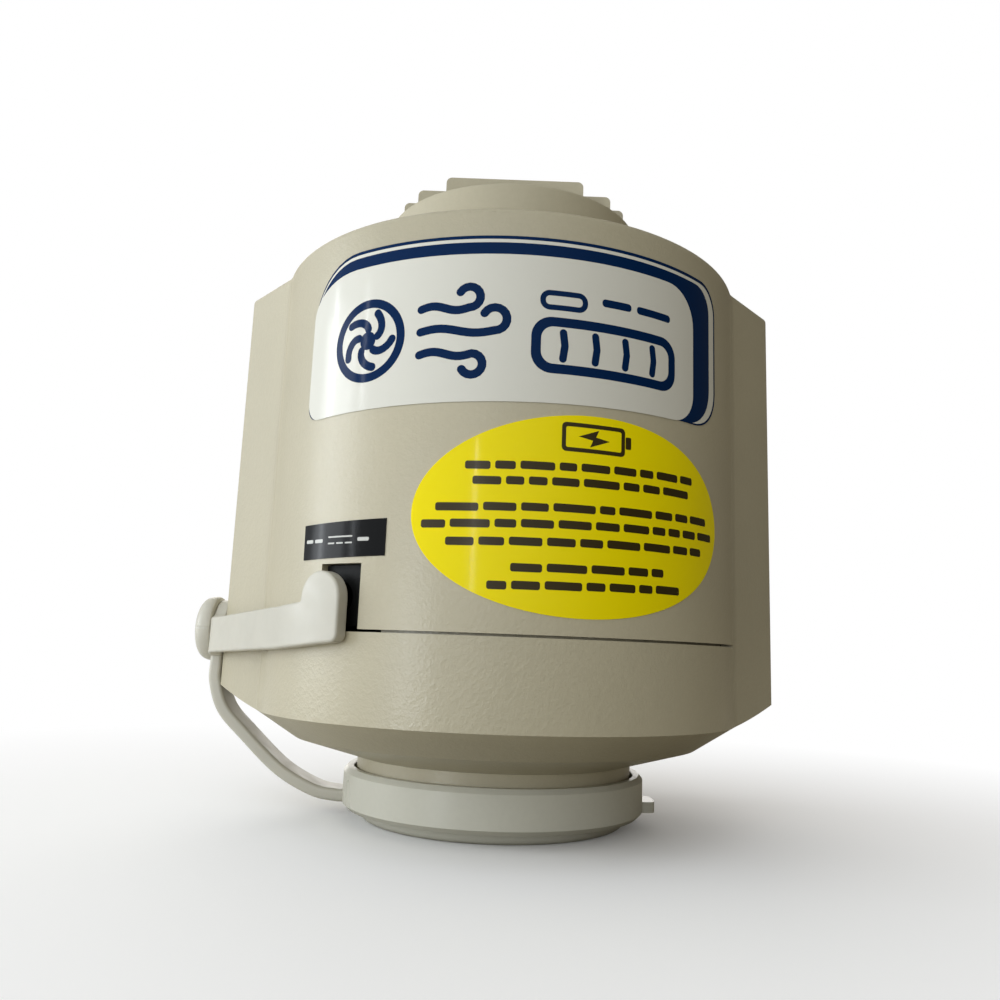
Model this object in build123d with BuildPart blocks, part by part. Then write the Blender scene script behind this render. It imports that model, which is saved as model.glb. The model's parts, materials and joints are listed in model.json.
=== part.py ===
"""Cordless electric air mattress pump, standing on the cap of its air nozzle.

Origin: centre of the nozzle cap's bottom face. +Z is up, -Y is the front (label side),
+X is the right side seen from the front. All sizes are millimetres.
"""
import os
from math import acos, atan2, cos, degrees, hypot, radians, sin, sqrt

from build123d import *

os.makedirs("parts", exist_ok=True)

# ---------------------------------------------------------------- driving dimensions
barrel_r = 55.0            # outside radius of the round front
wall = 2.4                 # thickness of every moulded shell
barrel_bottom = 23.8       # lower rim of the barrel, where the cone starts
parting_z = 40.9           # seam between the upper front shell and the lower bowl
body_top = 123.8           # flat top edge of barrel and wings
wing_x = 64.8              # half width across the wings
wing_y = -3.2              # the wings' front corner
wing_flare = 49.5          # angle of the flared faces from the X axis
back_y = 46.5              # back wall of the battery housing
back_corner_r = 20.0
split_y = -19.7            # plane between the front pieces and the rear shell
seam = 0.2                 # gap at the seams between shells
big = 200.0                # wider than the whole pump, for zones that are cut or kept
parting_gap = 0.5

neck_r = 31.7              # air nozzle, outside
duct_r = 28.9              # air nozzle, inside
neck_bottom = 5.0
cone_foot_z = 14.0         # cone meets the nozzle
cone_knee = (46.5, 18.3)   # the cone steepens here (radius, height)
flare_slope = 0.44         # rise per mm of the underside outside the barrel
wing_edge_r = 0.8
flare_fillet = 9.0         # hollow where the flared wing leaves the barrel
top_edge_r = 1.4

cap_r = 34.6
cap_height = 11.5
cap_step_z = 2.6           # the cap narrows below this height
cap_disc_r = 30.8

grille_r = 31.5            # inlet ring on top
grille_foot_z = 128.2
grille_ring_top = 142.3
grille_top = 146.0
slat_pitch = 6.25
slat_t = 2.2
slat_end_r = 29.6          # circle on which the slats end
slats_each_side = 4

motor_r = 18.9             # 550-size can
motor_foot_z = 41.4
motor_length = 57.0
shaft_r = 1.6
impeller_r = 35.0
fan_case_r = 41.5          # skirt round the impeller
deck_z = 38.9              # underside of the deck that carries the motor
deck_top = 41.4
post_spots = ((47.2, -56), (47.2, 56), (47.2, 110), (47.2, -110))   # radius, azimuth
post_r = 2.2
screw_r = 1.1

cell_r = 11.0              # 4/5 sub-C cell
cell_length = 33.0
cells_per_row = 5
cell_pitch = 22.4
cell_y = 32.2
cell_foot_z = 44.0
cell_layer_gap = 3.0
cell_top = cell_foot_z + 2 * cell_length + cell_layer_gap

strap_t = 3.0              # moulded strap of the socket cover
strap_gap = 0.3            # strap to barrel
hinge_x = -66.5            # where the strap bends round the left wing's corner
hinge_y = -4.4

handle_w = 28.0
handle_back = 93.5
handle_gap_back = 74.5     # rear end of the finger gap
handle_top = 122.0
handle_gap_top = 107.0
handle_bottom = 24.5
handle_gap_bottom = 37.0

label_t = 0.15


def on_circle(radius, azimuth):
    """Point on a circle round the barrel's axis; azimuth 0 is the front, positive to the right."""
    return (radius * sin(radians(azimuth)), -radius * cos(radians(azimuth)))


# ---------------------------------------------------------------- shared forms
def body_plan(inset):
    """Round barrel in front, flared wings and a squarish battery housing behind."""
    run = 30.0
    flare_x = run * cos(radians(wing_flare))
    flare_y = run * sin(radians(wing_flare))
    with BuildSketch() as plan:
        Circle(barrel_r)
        with BuildLine():
            Polyline(
                (-wing_x + flare_x, wing_y - flare_y),
                (wing_x - flare_x, wing_y - flare_y),
                (wing_x, wing_y),
                (wing_x, back_y),
                (-wing_x, back_y),
                (-wing_x, wing_y),
                close=True,
            )
        make_face()
        with Locations((0, back_y + big / 2)):
            Rectangle(big, big, mode=Mode.SUBTRACT)
        back_corners = plan.vertices().group_by(Axis.Y)[-1]
        fillet(back_corners, back_corner_r)
        wing_corners = [v for v in plan.vertices() if abs(abs(v.X) - wing_x) < 0.01 and v.Y < 0]
        fillet(wing_corners, wing_edge_r)
        concave = [v for v in plan.vertices() if -25 < v.Y < -12 and abs(v.X) > 45]
        fillet(concave, flare_fillet)
        if inset:
            offset(amount=-inset, kind=Kind.INTERSECTION)
    return plan.sketch


def underside_profile(lift):
    """Half section of the body above its sloping underside, raised by lift."""
    far = 95.0
    with BuildSketch() as section:
        with BuildLine():
            Polyline(
                (0, cone_foot_z + lift),
                (neck_r, cone_foot_z + lift),
                (cone_knee[0], cone_knee[1] + lift),
                (barrel_r, barrel_bottom + lift),
                (far, barrel_bottom + lift + (far - barrel_r) * flare_slope),
                (far, body_top),
                (0, body_top),
                close=True,
            )
        make_face()
    return section.sketch


def body_form(plan, section):
    """The closed body: its plan raised to the top edge and trimmed by the sloping underside."""
    with BuildPart() as form:
        with BuildSketch():
            add(plan)
        extrude(amount=body_top)
        with BuildSketch(Plane.XZ):
            add(section)
        revolve(axis=Axis.Z, mode=Mode.INTERSECT)
    return form.part


cover_inset = 3.2
cover_gap = 0.25
cover_z = 120.9            # underside of the top cover
ledge_z = 118.4            # the shells carry the cover on a ledge
ledge_inset = 5.8

cover_plan = body_plan(cover_inset)
recess_plan = body_plan(cover_inset - cover_gap)
ledge_plan = body_plan(ledge_inset)
outer_body = body_form(body_plan(0), underside_profile(0))
inner_body = body_form(body_plan(wall), underside_profile(wall + 0.2))

with BuildPart() as outer_form:
    add(outer_body)
    top_edges = outer_form.faces().sort_by(Axis.Z)[-1].edges()
    fillet(top_edges, top_edge_r)

with BuildPart() as inner_form:
    add(inner_body)
    with BuildSketch(Plane.XY.offset(ledge_z)):
        Rectangle(big, big)
    extrude(amount=20, mode=Mode.SUBTRACT)

with BuildPart() as shell_form:
    add(outer_form.part)
    add(inner_form.part, mode=Mode.SUBTRACT)
    with BuildSketch(Plane.XY.offset(ledge_z)):
        add(ledge_plan)
    extrude(amount=10, mode=Mode.SUBTRACT)
    with BuildSketch(Plane.XY.offset(cover_z)):
        add(recess_plan)
    extrude(amount=10, mode=Mode.SUBTRACT)

bowl_seam_r = 44.5         # round seam between bowl and rear shell, underneath
bowl_seam_top = 21.5

# socket recess, in the lower edge of the upper front shell
socket_az = -34.2
socket_w = 10.3
socket_h = 12.9
socket_plane = Plane(
    origin=(*on_circle(barrel_r, socket_az), parting_z),
    x_dir=(cos(radians(socket_az)), sin(radians(socket_az)), 0),
    z_dir=(sin(radians(socket_az)), -cos(radians(socket_az)), 0),
)

# ---------------------------------------------------------------- casing
board_y = -35.0            # plane of the charge board
board_boss_x = 26.0
board_boss_z = (60.0, 96.0)
board_screw_spots = [(x, z) for x in (-board_boss_x, board_boss_x) for z in board_boss_z]
cover_screw_r = 1.25
screw_clearance_r = 1.5    # clear hole for those screws
boss_r = 3.2               # screw posts of shells and handle
board_boss_r = 3.0
board_boss_h = 10.5
front_boss_z = 108.0       # the front cover posts hang down to here
cover_pilot_z = 110.0
socket_cut = 8.0
corner_x = wing_x - back_corner_r
corner_y = back_y - back_corner_r
cover_holes = [on_circle(48.9, 28), on_circle(48.9, -28),
               (corner_x + 12.2, corner_y + 4.4), (-corner_x - 12.2, corner_y + 4.4)]

with BuildPart() as front_shell:
    add(shell_form.part)
    with BuildSketch(Plane.XY.offset(parting_z + parting_gap)):
        with Locations((0, split_y - seam / 2 - big / 2)):
            Rectangle(big, big)
    extrude(amount=120, mode=Mode.INTERSECT)
    with BuildSketch(socket_plane):
        with Locations((0, socket_h / 2)):
            Rectangle(socket_w, socket_h)
    extrude(amount=-socket_cut, mode=Mode.SUBTRACT)
    # bosses that carry the charge board
    with BuildSketch(Plane.XZ.offset(-board_y + 0.9)):
        with Locations(board_screw_spots):
            Circle(board_boss_r)
            Circle(screw_r, mode=Mode.SUBTRACT)
    extrude(amount=board_boss_h)
    # bosses under the ledge for the cover's screws
    with BuildSketch(Plane.XY.offset(front_boss_z)):
        with Locations(cover_holes[:2]):
            Circle(boss_r)
    extrude(amount=cover_z - front_boss_z)
    with BuildSketch(Plane.XY.offset(cover_pilot_z)):
        with Locations(cover_holes[:2]):
            Circle(cover_screw_r)
    extrude(amount=20, mode=Mode.SUBTRACT)

with BuildPart() as bowl_zone:
    with BuildSketch():
        with Locations((0, split_y - seam / 2 - big / 2)):
            Rectangle(big, big)
    extrude(amount=parting_z)
    with BuildSketch():
        Circle(bowl_seam_r - seam / 2)
    extrude(amount=bowl_seam_top)

lip_t = 1.4                # inner lip that closes the parting gap
lip_down = 5.0
lip_up = 4.0
lip_notch_r = 9.0          # the lip leaves room for the DC socket
with BuildPart() as lower_bowl:
    add(shell_form.part)
    add(bowl_zone.part, mode=Mode.INTERSECT)
    with BuildSketch(Plane.XY.offset(parting_z - lip_down)):
        Circle(barrel_r - wall)
        Circle(barrel_r - wall - lip_t, mode=Mode.SUBTRACT)
        with Locations((0, split_y - seam / 2 + big / 2)):
            Rectangle(big, big, mode=Mode.SUBTRACT)
        with Locations(on_circle(barrel_r, socket_az)):
            Circle(lip_notch_r, mode=Mode.SUBTRACT)
    extrude(amount=lip_down)
    with BuildSketch(Plane.XY.offset(parting_z)):
        Circle(barrel_r - wall - seam)
        Circle(barrel_r - wall - lip_t, mode=Mode.SUBTRACT)
        with Locations((0, split_y - seam / 2 + big / 2)):
            Rectangle(big, big, mode=Mode.SUBTRACT)
        with Locations(on_circle(barrel_r, socket_az)):
            Circle(lip_notch_r, mode=Mode.SUBTRACT)
    extrude(amount=lip_up)
    # nozzle that enters the mattress valve
    with BuildSketch(Plane.XY.offset(neck_bottom)):
        Circle(neck_r)
    extrude(amount=cone_foot_z + wall - neck_bottom)
    with BuildSketch(Plane.XY.offset(neck_bottom)):
        Circle(duct_r)
    extrude(amount=20, mode=Mode.SUBTRACT)
    # posts under the fan housing
    with BuildSketch(Plane.XY.offset(barrel_bottom - 3)):
        with Locations([on_circle(*spot) for spot in post_spots[:2]]):
            Circle(post_r)
    extrude(amount=deck_z - barrel_bottom + 3)
    with BuildSketch(Plane.XY.offset(barrel_bottom + 3)):
        with Locations([on_circle(*spot) for spot in post_spots[:2]]):
            Circle(screw_r)
    extrude(amount=20, mode=Mode.SUBTRACT)

tray_post_x = 50.0         # posts under the battery tray
tray_post_y = 36.0
tray_post_z = 28.0
tray_floor = 2.0
anchor_y = 3.5             # button that holds the straps on the left wing
anchor_z = 41.2
handle_screw_spots = [(x, z) for x in (-8, 8) for z in (30.5, 116.2)]
lead_hole_z = 116.4        # the switch leads pass into the handle here
lead_hole_r = 2.6
anchor_hole_r = 2.6
with BuildPart() as rear_shell:
    add(shell_form.part)
    with BuildSketch() as rear_zone:
        with Locations((0, split_y + seam / 2 + big / 2)):
            Rectangle(big, big)
    extrude(amount=130, mode=Mode.INTERSECT)
    with BuildSketch():
        Circle(bowl_seam_r + seam / 2)
    extrude(amount=bowl_seam_top, mode=Mode.SUBTRACT)
    # posts for the fan housing and for the battery tray
    with BuildSketch(Plane.XY.offset(barrel_bottom - 2)):
        with Locations([on_circle(*spot) for spot in post_spots[2:]]):
            Circle(post_r)
    extrude(amount=deck_z - barrel_bottom + 2)
    with BuildSketch(Plane.XY.offset(barrel_bottom + 4)):
        with Locations([on_circle(*spot) for spot in post_spots[2:]]):
            Circle(screw_r)
    extrude(amount=20, mode=Mode.SUBTRACT)
    with BuildSketch(Plane.XY.offset(tray_post_z)):
        with Locations([(-tray_post_x, tray_post_y), (tray_post_x, tray_post_y)]):
            Circle(board_boss_r)
    extrude(amount=cell_foot_z - tray_floor - tray_post_z)
    # bosses under the ledge for the cover's screws
    with BuildSketch(Plane.XY.offset(cell_top + 2.5)):
        with Locations(cover_holes[2:]):
            Circle(boss_r)
    extrude(amount=cover_z - cell_top - 2.5)
    with BuildSketch(Plane.XY.offset(cell_top)):
        with Locations(cover_holes[2:]):
            Circle(cover_screw_r)
    extrude(amount=20, mode=Mode.SUBTRACT)
    # hole for the strap anchor and passages for the handle's screws and leads
    with BuildSketch(Plane.YZ.offset(-wing_x - 5)):
        with Locations((anchor_y, anchor_z)):
            Circle(anchor_hole_r)
    extrude(amount=10, mode=Mode.SUBTRACT)
    with BuildSketch(Plane.XZ.offset(-back_y - 5)):
        with Locations(handle_screw_spots):
            Circle(screw_clearance_r)
        with Locations((0, lead_hole_z)):
            Circle(lead_hole_r)
    extrude(amount=10, mode=Mode.SUBTRACT)

dome_r = 42.6              # the cover rises to the inlet ring inside this radius
dome_top_r = 34.0
inlet_r = 30.0             # air hole in the cover
cover_top = body_top - 0.3
with BuildPart() as top_cover:
    with BuildSketch(Plane.XY.offset(cover_z)):
        add(cover_plan)
    extrude(amount=cover_top - cover_z)
    with BuildSketch(Plane.XY.offset(cover_z - 1)):
        Circle(dome_r - 4)
    extrude(amount=10, mode=Mode.SUBTRACT)
    # shallow dome with a flat seat for the inlet ring
    with BuildSketch(Plane.XZ):
        with BuildLine():
            Polyline(
                (dome_r - 4.2, cover_z),
                (dome_r - 3.5, cover_z),
                (dome_r, cover_top),
                (dome_top_r, grille_foot_z),
                (inlet_r, grille_foot_z),
                (inlet_r, grille_foot_z - wall),
                (33.4, grille_foot_z - wall),
                close=True,
            )
        make_face()
    revolve(axis=Axis.Z)
    with BuildSketch(Plane.XY.offset(cover_z - 1)):
        with Locations(cover_holes):
            Circle(screw_clearance_r)
    extrude(amount=10, mode=Mode.SUBTRACT)

head_r = 2.3               # pan heads
with BuildPart() as cover_screws:
    with BuildSketch(Plane.XY.offset(cell_top + 3)):
        with Locations(cover_holes):
            Circle(cover_screw_r)
    extrude(amount=cover_top - cell_top - 3)
    with BuildSketch(Plane.XY.offset(cover_top)):
        with Locations(cover_holes):
            Circle(head_r)
    extrude(amount=1.3)
    fillet(cover_screws.faces().sort_by(Axis.Z)[-4:].edges(), 0.5)
    with BuildSketch(Plane.XY.offset(cover_top + 1.4)):
        with Locations(cover_holes):
            Rectangle(2.6, 0.6)
            Rectangle(0.6, 2.6)
    extrude(amount=-0.9, mode=Mode.SUBTRACT)

ring_wall = 2.6
spigot_h = 3.5
slat_foot = 138.4
with BuildPart() as inlet_grille:
    with BuildSketch(Plane.XY.offset(grille_foot_z)):
        Circle(grille_r)
        Circle(grille_r - ring_wall, mode=Mode.SUBTRACT)
    extrude(amount=grille_ring_top - grille_foot_z)
    fillet(inlet_grille.faces().sort_by(Axis.Z)[-1].edges().sort_by(SortBy.LENGTH)[-1], 0.8)
    # spigot that locates the ring in the cover
    with BuildSketch(Plane.XY.offset(grille_foot_z - spigot_h)):
        Circle(inlet_r - seam)
        Circle(inlet_r - seam - 2.0, mode=Mode.SUBTRACT)
    extrude(amount=spigot_h + 1)
    # parallel slats that end on top of the ring
    for row in range(-slats_each_side, slats_each_side + 1):
        y = row * slat_pitch
        half_chord = sqrt(slat_end_r ** 2 - y ** 2)
        with BuildSketch(Plane.XZ.offset(-y + slat_t / 2)):
            with Locations((0, (slat_foot + grille_top) / 2)):
                Rectangle(2 * half_chord, grille_top - slat_foot)
        extrude(amount=-slat_t)
    slat_ends = inlet_grille.edges().filter_by(Axis.Y).group_by(Axis.Z)[-1]
    fillet(slat_ends, 1.3)
    # one cross bar under the slats
    with BuildSketch(Plane.XY.offset(slat_foot - 1.5)):
        Rectangle(2.2, 2 * (grille_r - 1.5))
    extrude(amount=3)

with BuildPart() as inlet_filter:
    with BuildSketch(Plane.XY.offset(grille_foot_z + 1.3)):
        Circle(grille_r - ring_wall - seam)
    extrude(amount=6)

# ---------------------------------------------------------------- fan
fan_case_wall = 1.4
fan_case_foot = 20.6
motor_screw_spots = [(-12.5, 0), (12.5, 0)]
motor_hub_r = 6.5
with BuildPart() as fan_housing:
    with BuildSketch(Plane.XY.offset(fan_case_foot)):
        Circle(fan_case_r)
        Circle(fan_case_r - fan_case_wall, mode=Mode.SUBTRACT)
    extrude(amount=deck_z - fan_case_foot)
    with BuildSketch(Plane.XY.offset(deck_z)):
        Circle(fan_case_r)
        for radius, azimuth in post_spots:
            with Locations(on_circle(radius, azimuth)):
                Circle(3.0)
            with Locations(Location((*on_circle(radius - 5, azimuth), 0), azimuth)):
                Rectangle(6, 10)
        Circle(motor_hub_r + seam, mode=Mode.SUBTRACT)
        with PolarLocations(0, 6):
            with BuildLine():
                inner_arc = CenterArc((0, 0), 20.0, 8, 44)
                outer_arc = CenterArc((0, 0), 25.5, 8, 44)
                Line(inner_arc @ 0, outer_arc @ 0)
                Line(inner_arc @ 1, outer_arc @ 1)
            make_face(mode=Mode.SUBTRACT)
        with Locations([on_circle(*spot) for spot in post_spots]):
            Circle(1.3, mode=Mode.SUBTRACT)
        with Locations(motor_screw_spots):
            Circle(1.7, mode=Mode.SUBTRACT)
    extrude(amount=deck_top - deck_z)

impeller_z = 28.0
vane_z = 29.4
shroud_z = 35.4
eye_r = 22.0               # the impeller draws air in through this opening
vane_count = 9
return_vane_count = 8
with BuildSketch() as impeller_vane:
    with BuildLine():
        ThreePointArc((19.5, 0), (26.5, 5.6), (29.5, 18.4))
    trace(line_width=1.3)
with BuildPart() as impeller:
    with BuildSketch(Plane.XY.offset(impeller_z)):
        Circle(impeller_r)
    extrude(amount=vane_z - impeller_z)
    with BuildSketch(Plane.XY.offset(vane_z)):
        with PolarLocations(0, vane_count):
            add(impeller_vane.sketch)
    extrude(amount=shroud_z - vane_z)
    with BuildSketch(Plane.XY.offset(shroud_z)):
        Circle(impeller_r)
        Circle(eye_r, mode=Mode.SUBTRACT)
    extrude(amount=1.2)
    with BuildSketch(Plane.XY.offset(vane_z)):
        Circle(6.0)
    extrude(amount=7.0, taper=6)
    with BuildSketch(Plane.XY.offset(impeller_z)):
        Circle(shaft_r)
    extrude(amount=20, mode=Mode.SUBTRACT)

with BuildPart() as impeller_nut:
    with BuildSketch(Plane.XY.offset(impeller_z - 2.4)):
        RegularPolygon(3.2, 6)
        Circle(shaft_r, mode=Mode.SUBTRACT)
    extrude(amount=2.4)

with BuildSketch() as return_vane:
    with BuildLine():
        ThreePointArc((10.5, 0), (23.0, 4.5), (31.5, 16.0))
    trace(line_width=1.4)
with BuildPart() as return_vanes:
    with BuildSketch(Plane.XY.offset(24.2)):
        Circle(36.5)
        Circle(6.0, mode=Mode.SUBTRACT)
    extrude(amount=1.3)
    with BuildSketch(Plane.XY.offset(18.4)):
        with PolarLocations(0, return_vane_count):
            add(return_vane.sketch)
    extrude(amount=5.8)

with BuildPart() as nozzle_guard:
    with BuildSketch(Plane.XY.offset(14.2)):
        Circle(duct_r)
        Circle(duct_r - 1.6, mode=Mode.SUBTRACT)
        for ring_r in (8, 18):
            Circle(ring_r + 0.9)
            Circle(ring_r - 0.9, mode=Mode.SUBTRACT)
        with PolarLocations(18, 6):
            Rectangle(20.5, 1.6)
    extrude(amount=2.2)

# ---------------------------------------------------------------- motor
motor_top = motor_foot_z + motor_length
can_wall = 1.4
bearing_r = 3.2
bearing_h = 3.6
brush_x = 11.0             # terminals stand over the brushes
coil_circle = 9.5
poles = 5
with BuildPart() as motor_can:
    with BuildSketch(Plane.XY.offset(motor_foot_z)):
        Circle(motor_r)
    extrude(amount=motor_length)
    with BuildSketch(Plane.XY.offset(motor_foot_z + 1.6)):
        Circle(motor_r - can_wall)
    extrude(amount=motor_length, mode=Mode.SUBTRACT)
    with BuildSketch(Plane.XY.offset(motor_foot_z - 2.2)):
        Circle(motor_hub_r)
    extrude(amount=2.2)
    with BuildSketch(Plane.XY.offset(motor_foot_z - 2.2)):
        Circle(bearing_r)
        with Locations(motor_screw_spots):
            Circle(screw_r)
    extrude(amount=10, mode=Mode.SUBTRACT)
    with BuildSketch(Plane.XZ.offset(-30)):
        with Locations((0, motor_foot_z + 8)):
            SlotOverall(14, 5)
    extrude(amount=60, mode=Mode.SUBTRACT)

with BuildPart() as motor_end_bell:
    with BuildSketch(Plane.XY.offset(motor_top - 2.5)):
        Circle(motor_r - 1.5)
    extrude(amount=2.5)
    with BuildSketch(Plane.XY.offset(motor_top)):
        Circle(motor_r - 0.3)
    extrude(amount=2.4)
    with BuildSketch(Plane.XY.offset(motor_top + 2.4)):
        Circle(5.4)
    extrude(amount=2.6)
    with BuildSketch(Plane.XY.offset(motor_top - 3)):
        Circle(bearing_r)
        with Locations([(-brush_x, 0), (brush_x, 0)]):
            Rectangle(1.0, 4.6)
        with Locations([(0, -12), (0, 12)]):
            SlotOverall(9, 4)
    extrude(amount=10, mode=Mode.SUBTRACT)

with BuildPart() as motor_terminals:
    with BuildSketch(Plane.XY.offset(motor_top - 2.5)):
        with Locations([(-brush_x, 0), (brush_x, 0)]):
            Rectangle(0.8, 4.4)
    extrude(amount=11)
    with BuildSketch(Plane.YZ.offset(-20)):
        with Locations((0, motor_top + 6.3)):
            Circle(0.9)
    extrude(amount=40, mode=Mode.SUBTRACT)

with BuildPart() as motor_magnets:
    with BuildSketch(Plane.XY.offset(52)):
        Circle(motor_r - 1.5)
        Circle(15.0, mode=Mode.SUBTRACT)
        Rectangle(12, 60, mode=Mode.SUBTRACT)
    extrude(amount=37)

armature_z = (54.0, 86.0)
with BuildPart() as motor_armature:
    with BuildSketch(Plane.XY.offset(armature_z[0])):
        Circle(14.4)
        with PolarLocations(13.6, poles):
            Rectangle(4, 1.8, mode=Mode.SUBTRACT)
        with PolarLocations(coil_circle, poles):
            Circle(3.0, mode=Mode.SUBTRACT)
        Circle(shaft_r, mode=Mode.SUBTRACT)
    extrude(amount=armature_z[1] - armature_z[0])

with BuildPart() as motor_windings:
    with BuildSketch(Plane.XY.offset(armature_z[0])):
        with PolarLocations(coil_circle, poles):
            Circle(2.8)
    extrude(amount=armature_z[1] - armature_z[0])
    for foot in (armature_z[0] - 5, armature_z[1]):
        with BuildSketch(Plane.XY.offset(foot)):
            Circle(12.6)
            Circle(5.2, mode=Mode.SUBTRACT)
        extrude(amount=5)
    fillet(motor_windings.edges().group_by(Axis.Z)[-1], 1.8)
    fillet(motor_windings.edges().group_by(Axis.Z)[0], 1.8)

with BuildPart() as motor_commutator:
    with BuildSketch(Plane.XY.offset(armature_z[1] + 0.2)):
        Circle(4.6)
        Circle(shaft_r, mode=Mode.SUBTRACT)
        with PolarLocations(4.6, poles):
            Rectangle(1.6, 0.5, mode=Mode.SUBTRACT)
    extrude(amount=8.4)

with BuildPart() as carbon_brushes:
    with BuildSketch(Plane.YZ.offset(4.75)):
        with Locations((0, armature_z[1] + 6.9)):
            Rectangle(4.4, 2.8)
    extrude(amount=7)
    mirror(about=Plane.YZ)

with BuildPart() as motor_shaft:
    with BuildSketch(Plane.XY.offset(impeller_z - 3.2)):
        Circle(shaft_r)
    extrude(amount=motor_top + 5.6 - impeller_z + 3.2)
    chamfer(motor_shaft.edges(), 0.3)

with BuildPart() as motor_bearings:
    for foot in (motor_foot_z - 2.0, motor_top + 0.8):
        with BuildSketch(Plane.XY.offset(foot)):
            Circle(bearing_r)
            Circle(shaft_r + 0.04, mode=Mode.SUBTRACT)
        extrude(amount=bearing_h)

with BuildPart() as motor_screws:
    with BuildSketch(Plane.XY.offset(deck_z - 1.8)):
        with Locations(motor_screw_spots):
            Circle(2.6)
    extrude(amount=1.8)
    with BuildSketch(Plane.XY.offset(deck_z)):
        with Locations(motor_screw_spots):
            Circle(screw_r)
    extrude(amount=5.5)

with BuildPart() as housing_screws:
    with BuildSketch(Plane.XY.offset(30)):
        with Locations([on_circle(*spot) for spot in post_spots]):
            Circle(screw_r)
    extrude(amount=deck_top - 30)
    with BuildSketch(Plane.XY.offset(deck_top)):
        with Locations([on_circle(*spot) for spot in post_spots]):
            Circle(head_r)
    extrude(amount=1.5)

# ---------------------------------------------------------------- battery pack
cell_x = [(column - (cells_per_row - 1) / 2) * cell_pitch for column in range(cells_per_row)]
cell_spots = [(x, cell_y) for x in cell_x]
cell_layers = (cell_foot_z, cell_foot_z + cell_length + cell_layer_gap)
terminal_h = 1.2

with BuildPart() as battery_cells:
    for foot in cell_layers:
        with BuildSketch(Plane.XY.offset(foot)):
            with Locations(cell_spots):
                Circle(cell_r)
        extrude(amount=cell_length - terminal_h)
        with BuildSketch(Plane.XY.offset(foot + cell_length - terminal_h)):
            with Locations(cell_spots):
                Circle(4.0)
        extrude(amount=terminal_h)

pack_w = 2 * abs(cell_x[0]) + 2 * cell_r
with BuildPart() as battery_trays:
    for foot, pocket in ((cell_foot_z - tray_floor, cell_foot_z), (cell_top - 5, cell_top - 7)):
        with BuildSketch(Plane.XY.offset(foot)):
            with Locations((0, cell_y)):
                RectangleRounded(pack_w + 1.6, 2 * cell_r + 1.0, cell_r - 0.5)
        extrude(amount=6)
        with BuildSketch(Plane.XY.offset(pocket)):
            with Locations(cell_spots):
                Circle(cell_r + 0.1)
        extrude(amount=6, mode=Mode.SUBTRACT)
    with BuildSketch(Plane.XY.offset(cell_top - 1)):
        with Locations(cell_spots):
            Circle(5.0)
        with Locations((0, cell_y)):
            Rectangle(pack_w - 6, 7)
    extrude(amount=5, mode=Mode.SUBTRACT)

with BuildPart() as cell_links:
    for height in (cell_foot_z + cell_length, cell_top):
        with BuildSketch(Plane.XY.offset(height)):
            with Locations([((cell_x[i] + cell_x[i + 1]) / 2, cell_y) for i in (0, 2)]):
                Rectangle(cell_pitch + 7, 6)
        extrude(amount=0.3)

# ---------------------------------------------------------------- electronics
board_t = 1.6
board_centre_z = sum(board_boss_z) / 2
board_front = board_y - 0.9
board_back = board_front + board_t
with BuildPart() as charge_board:
    with BuildSketch(Plane.XZ.offset(-board_front)):
        with Locations((0, board_centre_z)):
            RectangleRounded(58, 44, 2)
        with Locations(board_screw_spots):
            Circle(1.3, mode=Mode.SUBTRACT)
    extrude(amount=-board_t)

with BuildPart() as board_parts:
    # capacitor, relay, coil former and a heat sink with fins
    with BuildSketch(Plane.XZ.offset(-board_back)):
        with Locations((-19, 88)):
            Circle(4.8)
        with Locations((-2, 88)):
            Rectangle(15, 12)
        with Locations((16, 68)):
            Rectangle(9, 9)
    extrude(amount=-9)
    with BuildSketch(Plane.XZ.offset(-board_back)):
        with Locations([(15 + 2.4 * fin, 85) for fin in range(-2, 3)]):
            Rectangle(1.0, 14)
        with Locations((15, 85)):
            Rectangle(12, 1.2)
    extrude(amount=-7)

with BuildPart() as board_screws:
    with BuildSketch(Plane.XZ.offset(-board_back)):
        with Locations(board_screw_spots):
            Circle(2.2)
    extrude(amount=-1.5)
    with BuildSketch(Plane.XZ.offset(-board_back)):
        with Locations(board_screw_spots):
            Circle(screw_r)
    extrude(amount=8)

# DC socket: flange behind the wall, boss in the recess, bore for the charger's plug
jack_front = -3.0          # flange front, measured inwards from the barrel's surface
jack_bore_u = -1.0         # bore, left of the recess's centre
jack_bore_v = 6.4
jack_bore_r = 3.2
jack_pin_r = 1.0
jack_depth = 11.0          # body of the socket behind its flange
with BuildPart() as dc_jack:
    with BuildSketch(socket_plane.offset(jack_front)):
        with Locations((0, 7.6)):
            Rectangle(13, 13.2)
    extrude(amount=-2)
    with BuildSketch(socket_plane.offset(jack_front - 2)):
        with Locations((0, 7.0)):
            Rectangle(10, 11.4)
    extrude(amount=2 - jack_depth)
    with BuildSketch(socket_plane.offset(jack_front)):
        with Locations((0, 6.9)):
            Rectangle(socket_w - 0.6, socket_h - 1.4)
    extrude(amount=1.4)
    with BuildSketch(socket_plane.offset(jack_front + 2)):
        with Locations((jack_bore_u, jack_bore_v)):
            Circle(jack_bore_r)
    extrude(amount=-12, mode=Mode.SUBTRACT)

with BuildPart() as jack_contacts:
    with BuildSketch(socket_plane.offset(jack_front - 10)):
        with Locations((jack_bore_u, jack_bore_v)):
            Circle(jack_pin_r)
    extrude(amount=5)
    with BuildSketch(socket_plane.offset(jack_front - jack_depth)):
        with Locations([(-3, 4), (3, 4)]):
            Rectangle(0.8, 2.4)
    extrude(amount=-4)

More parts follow.
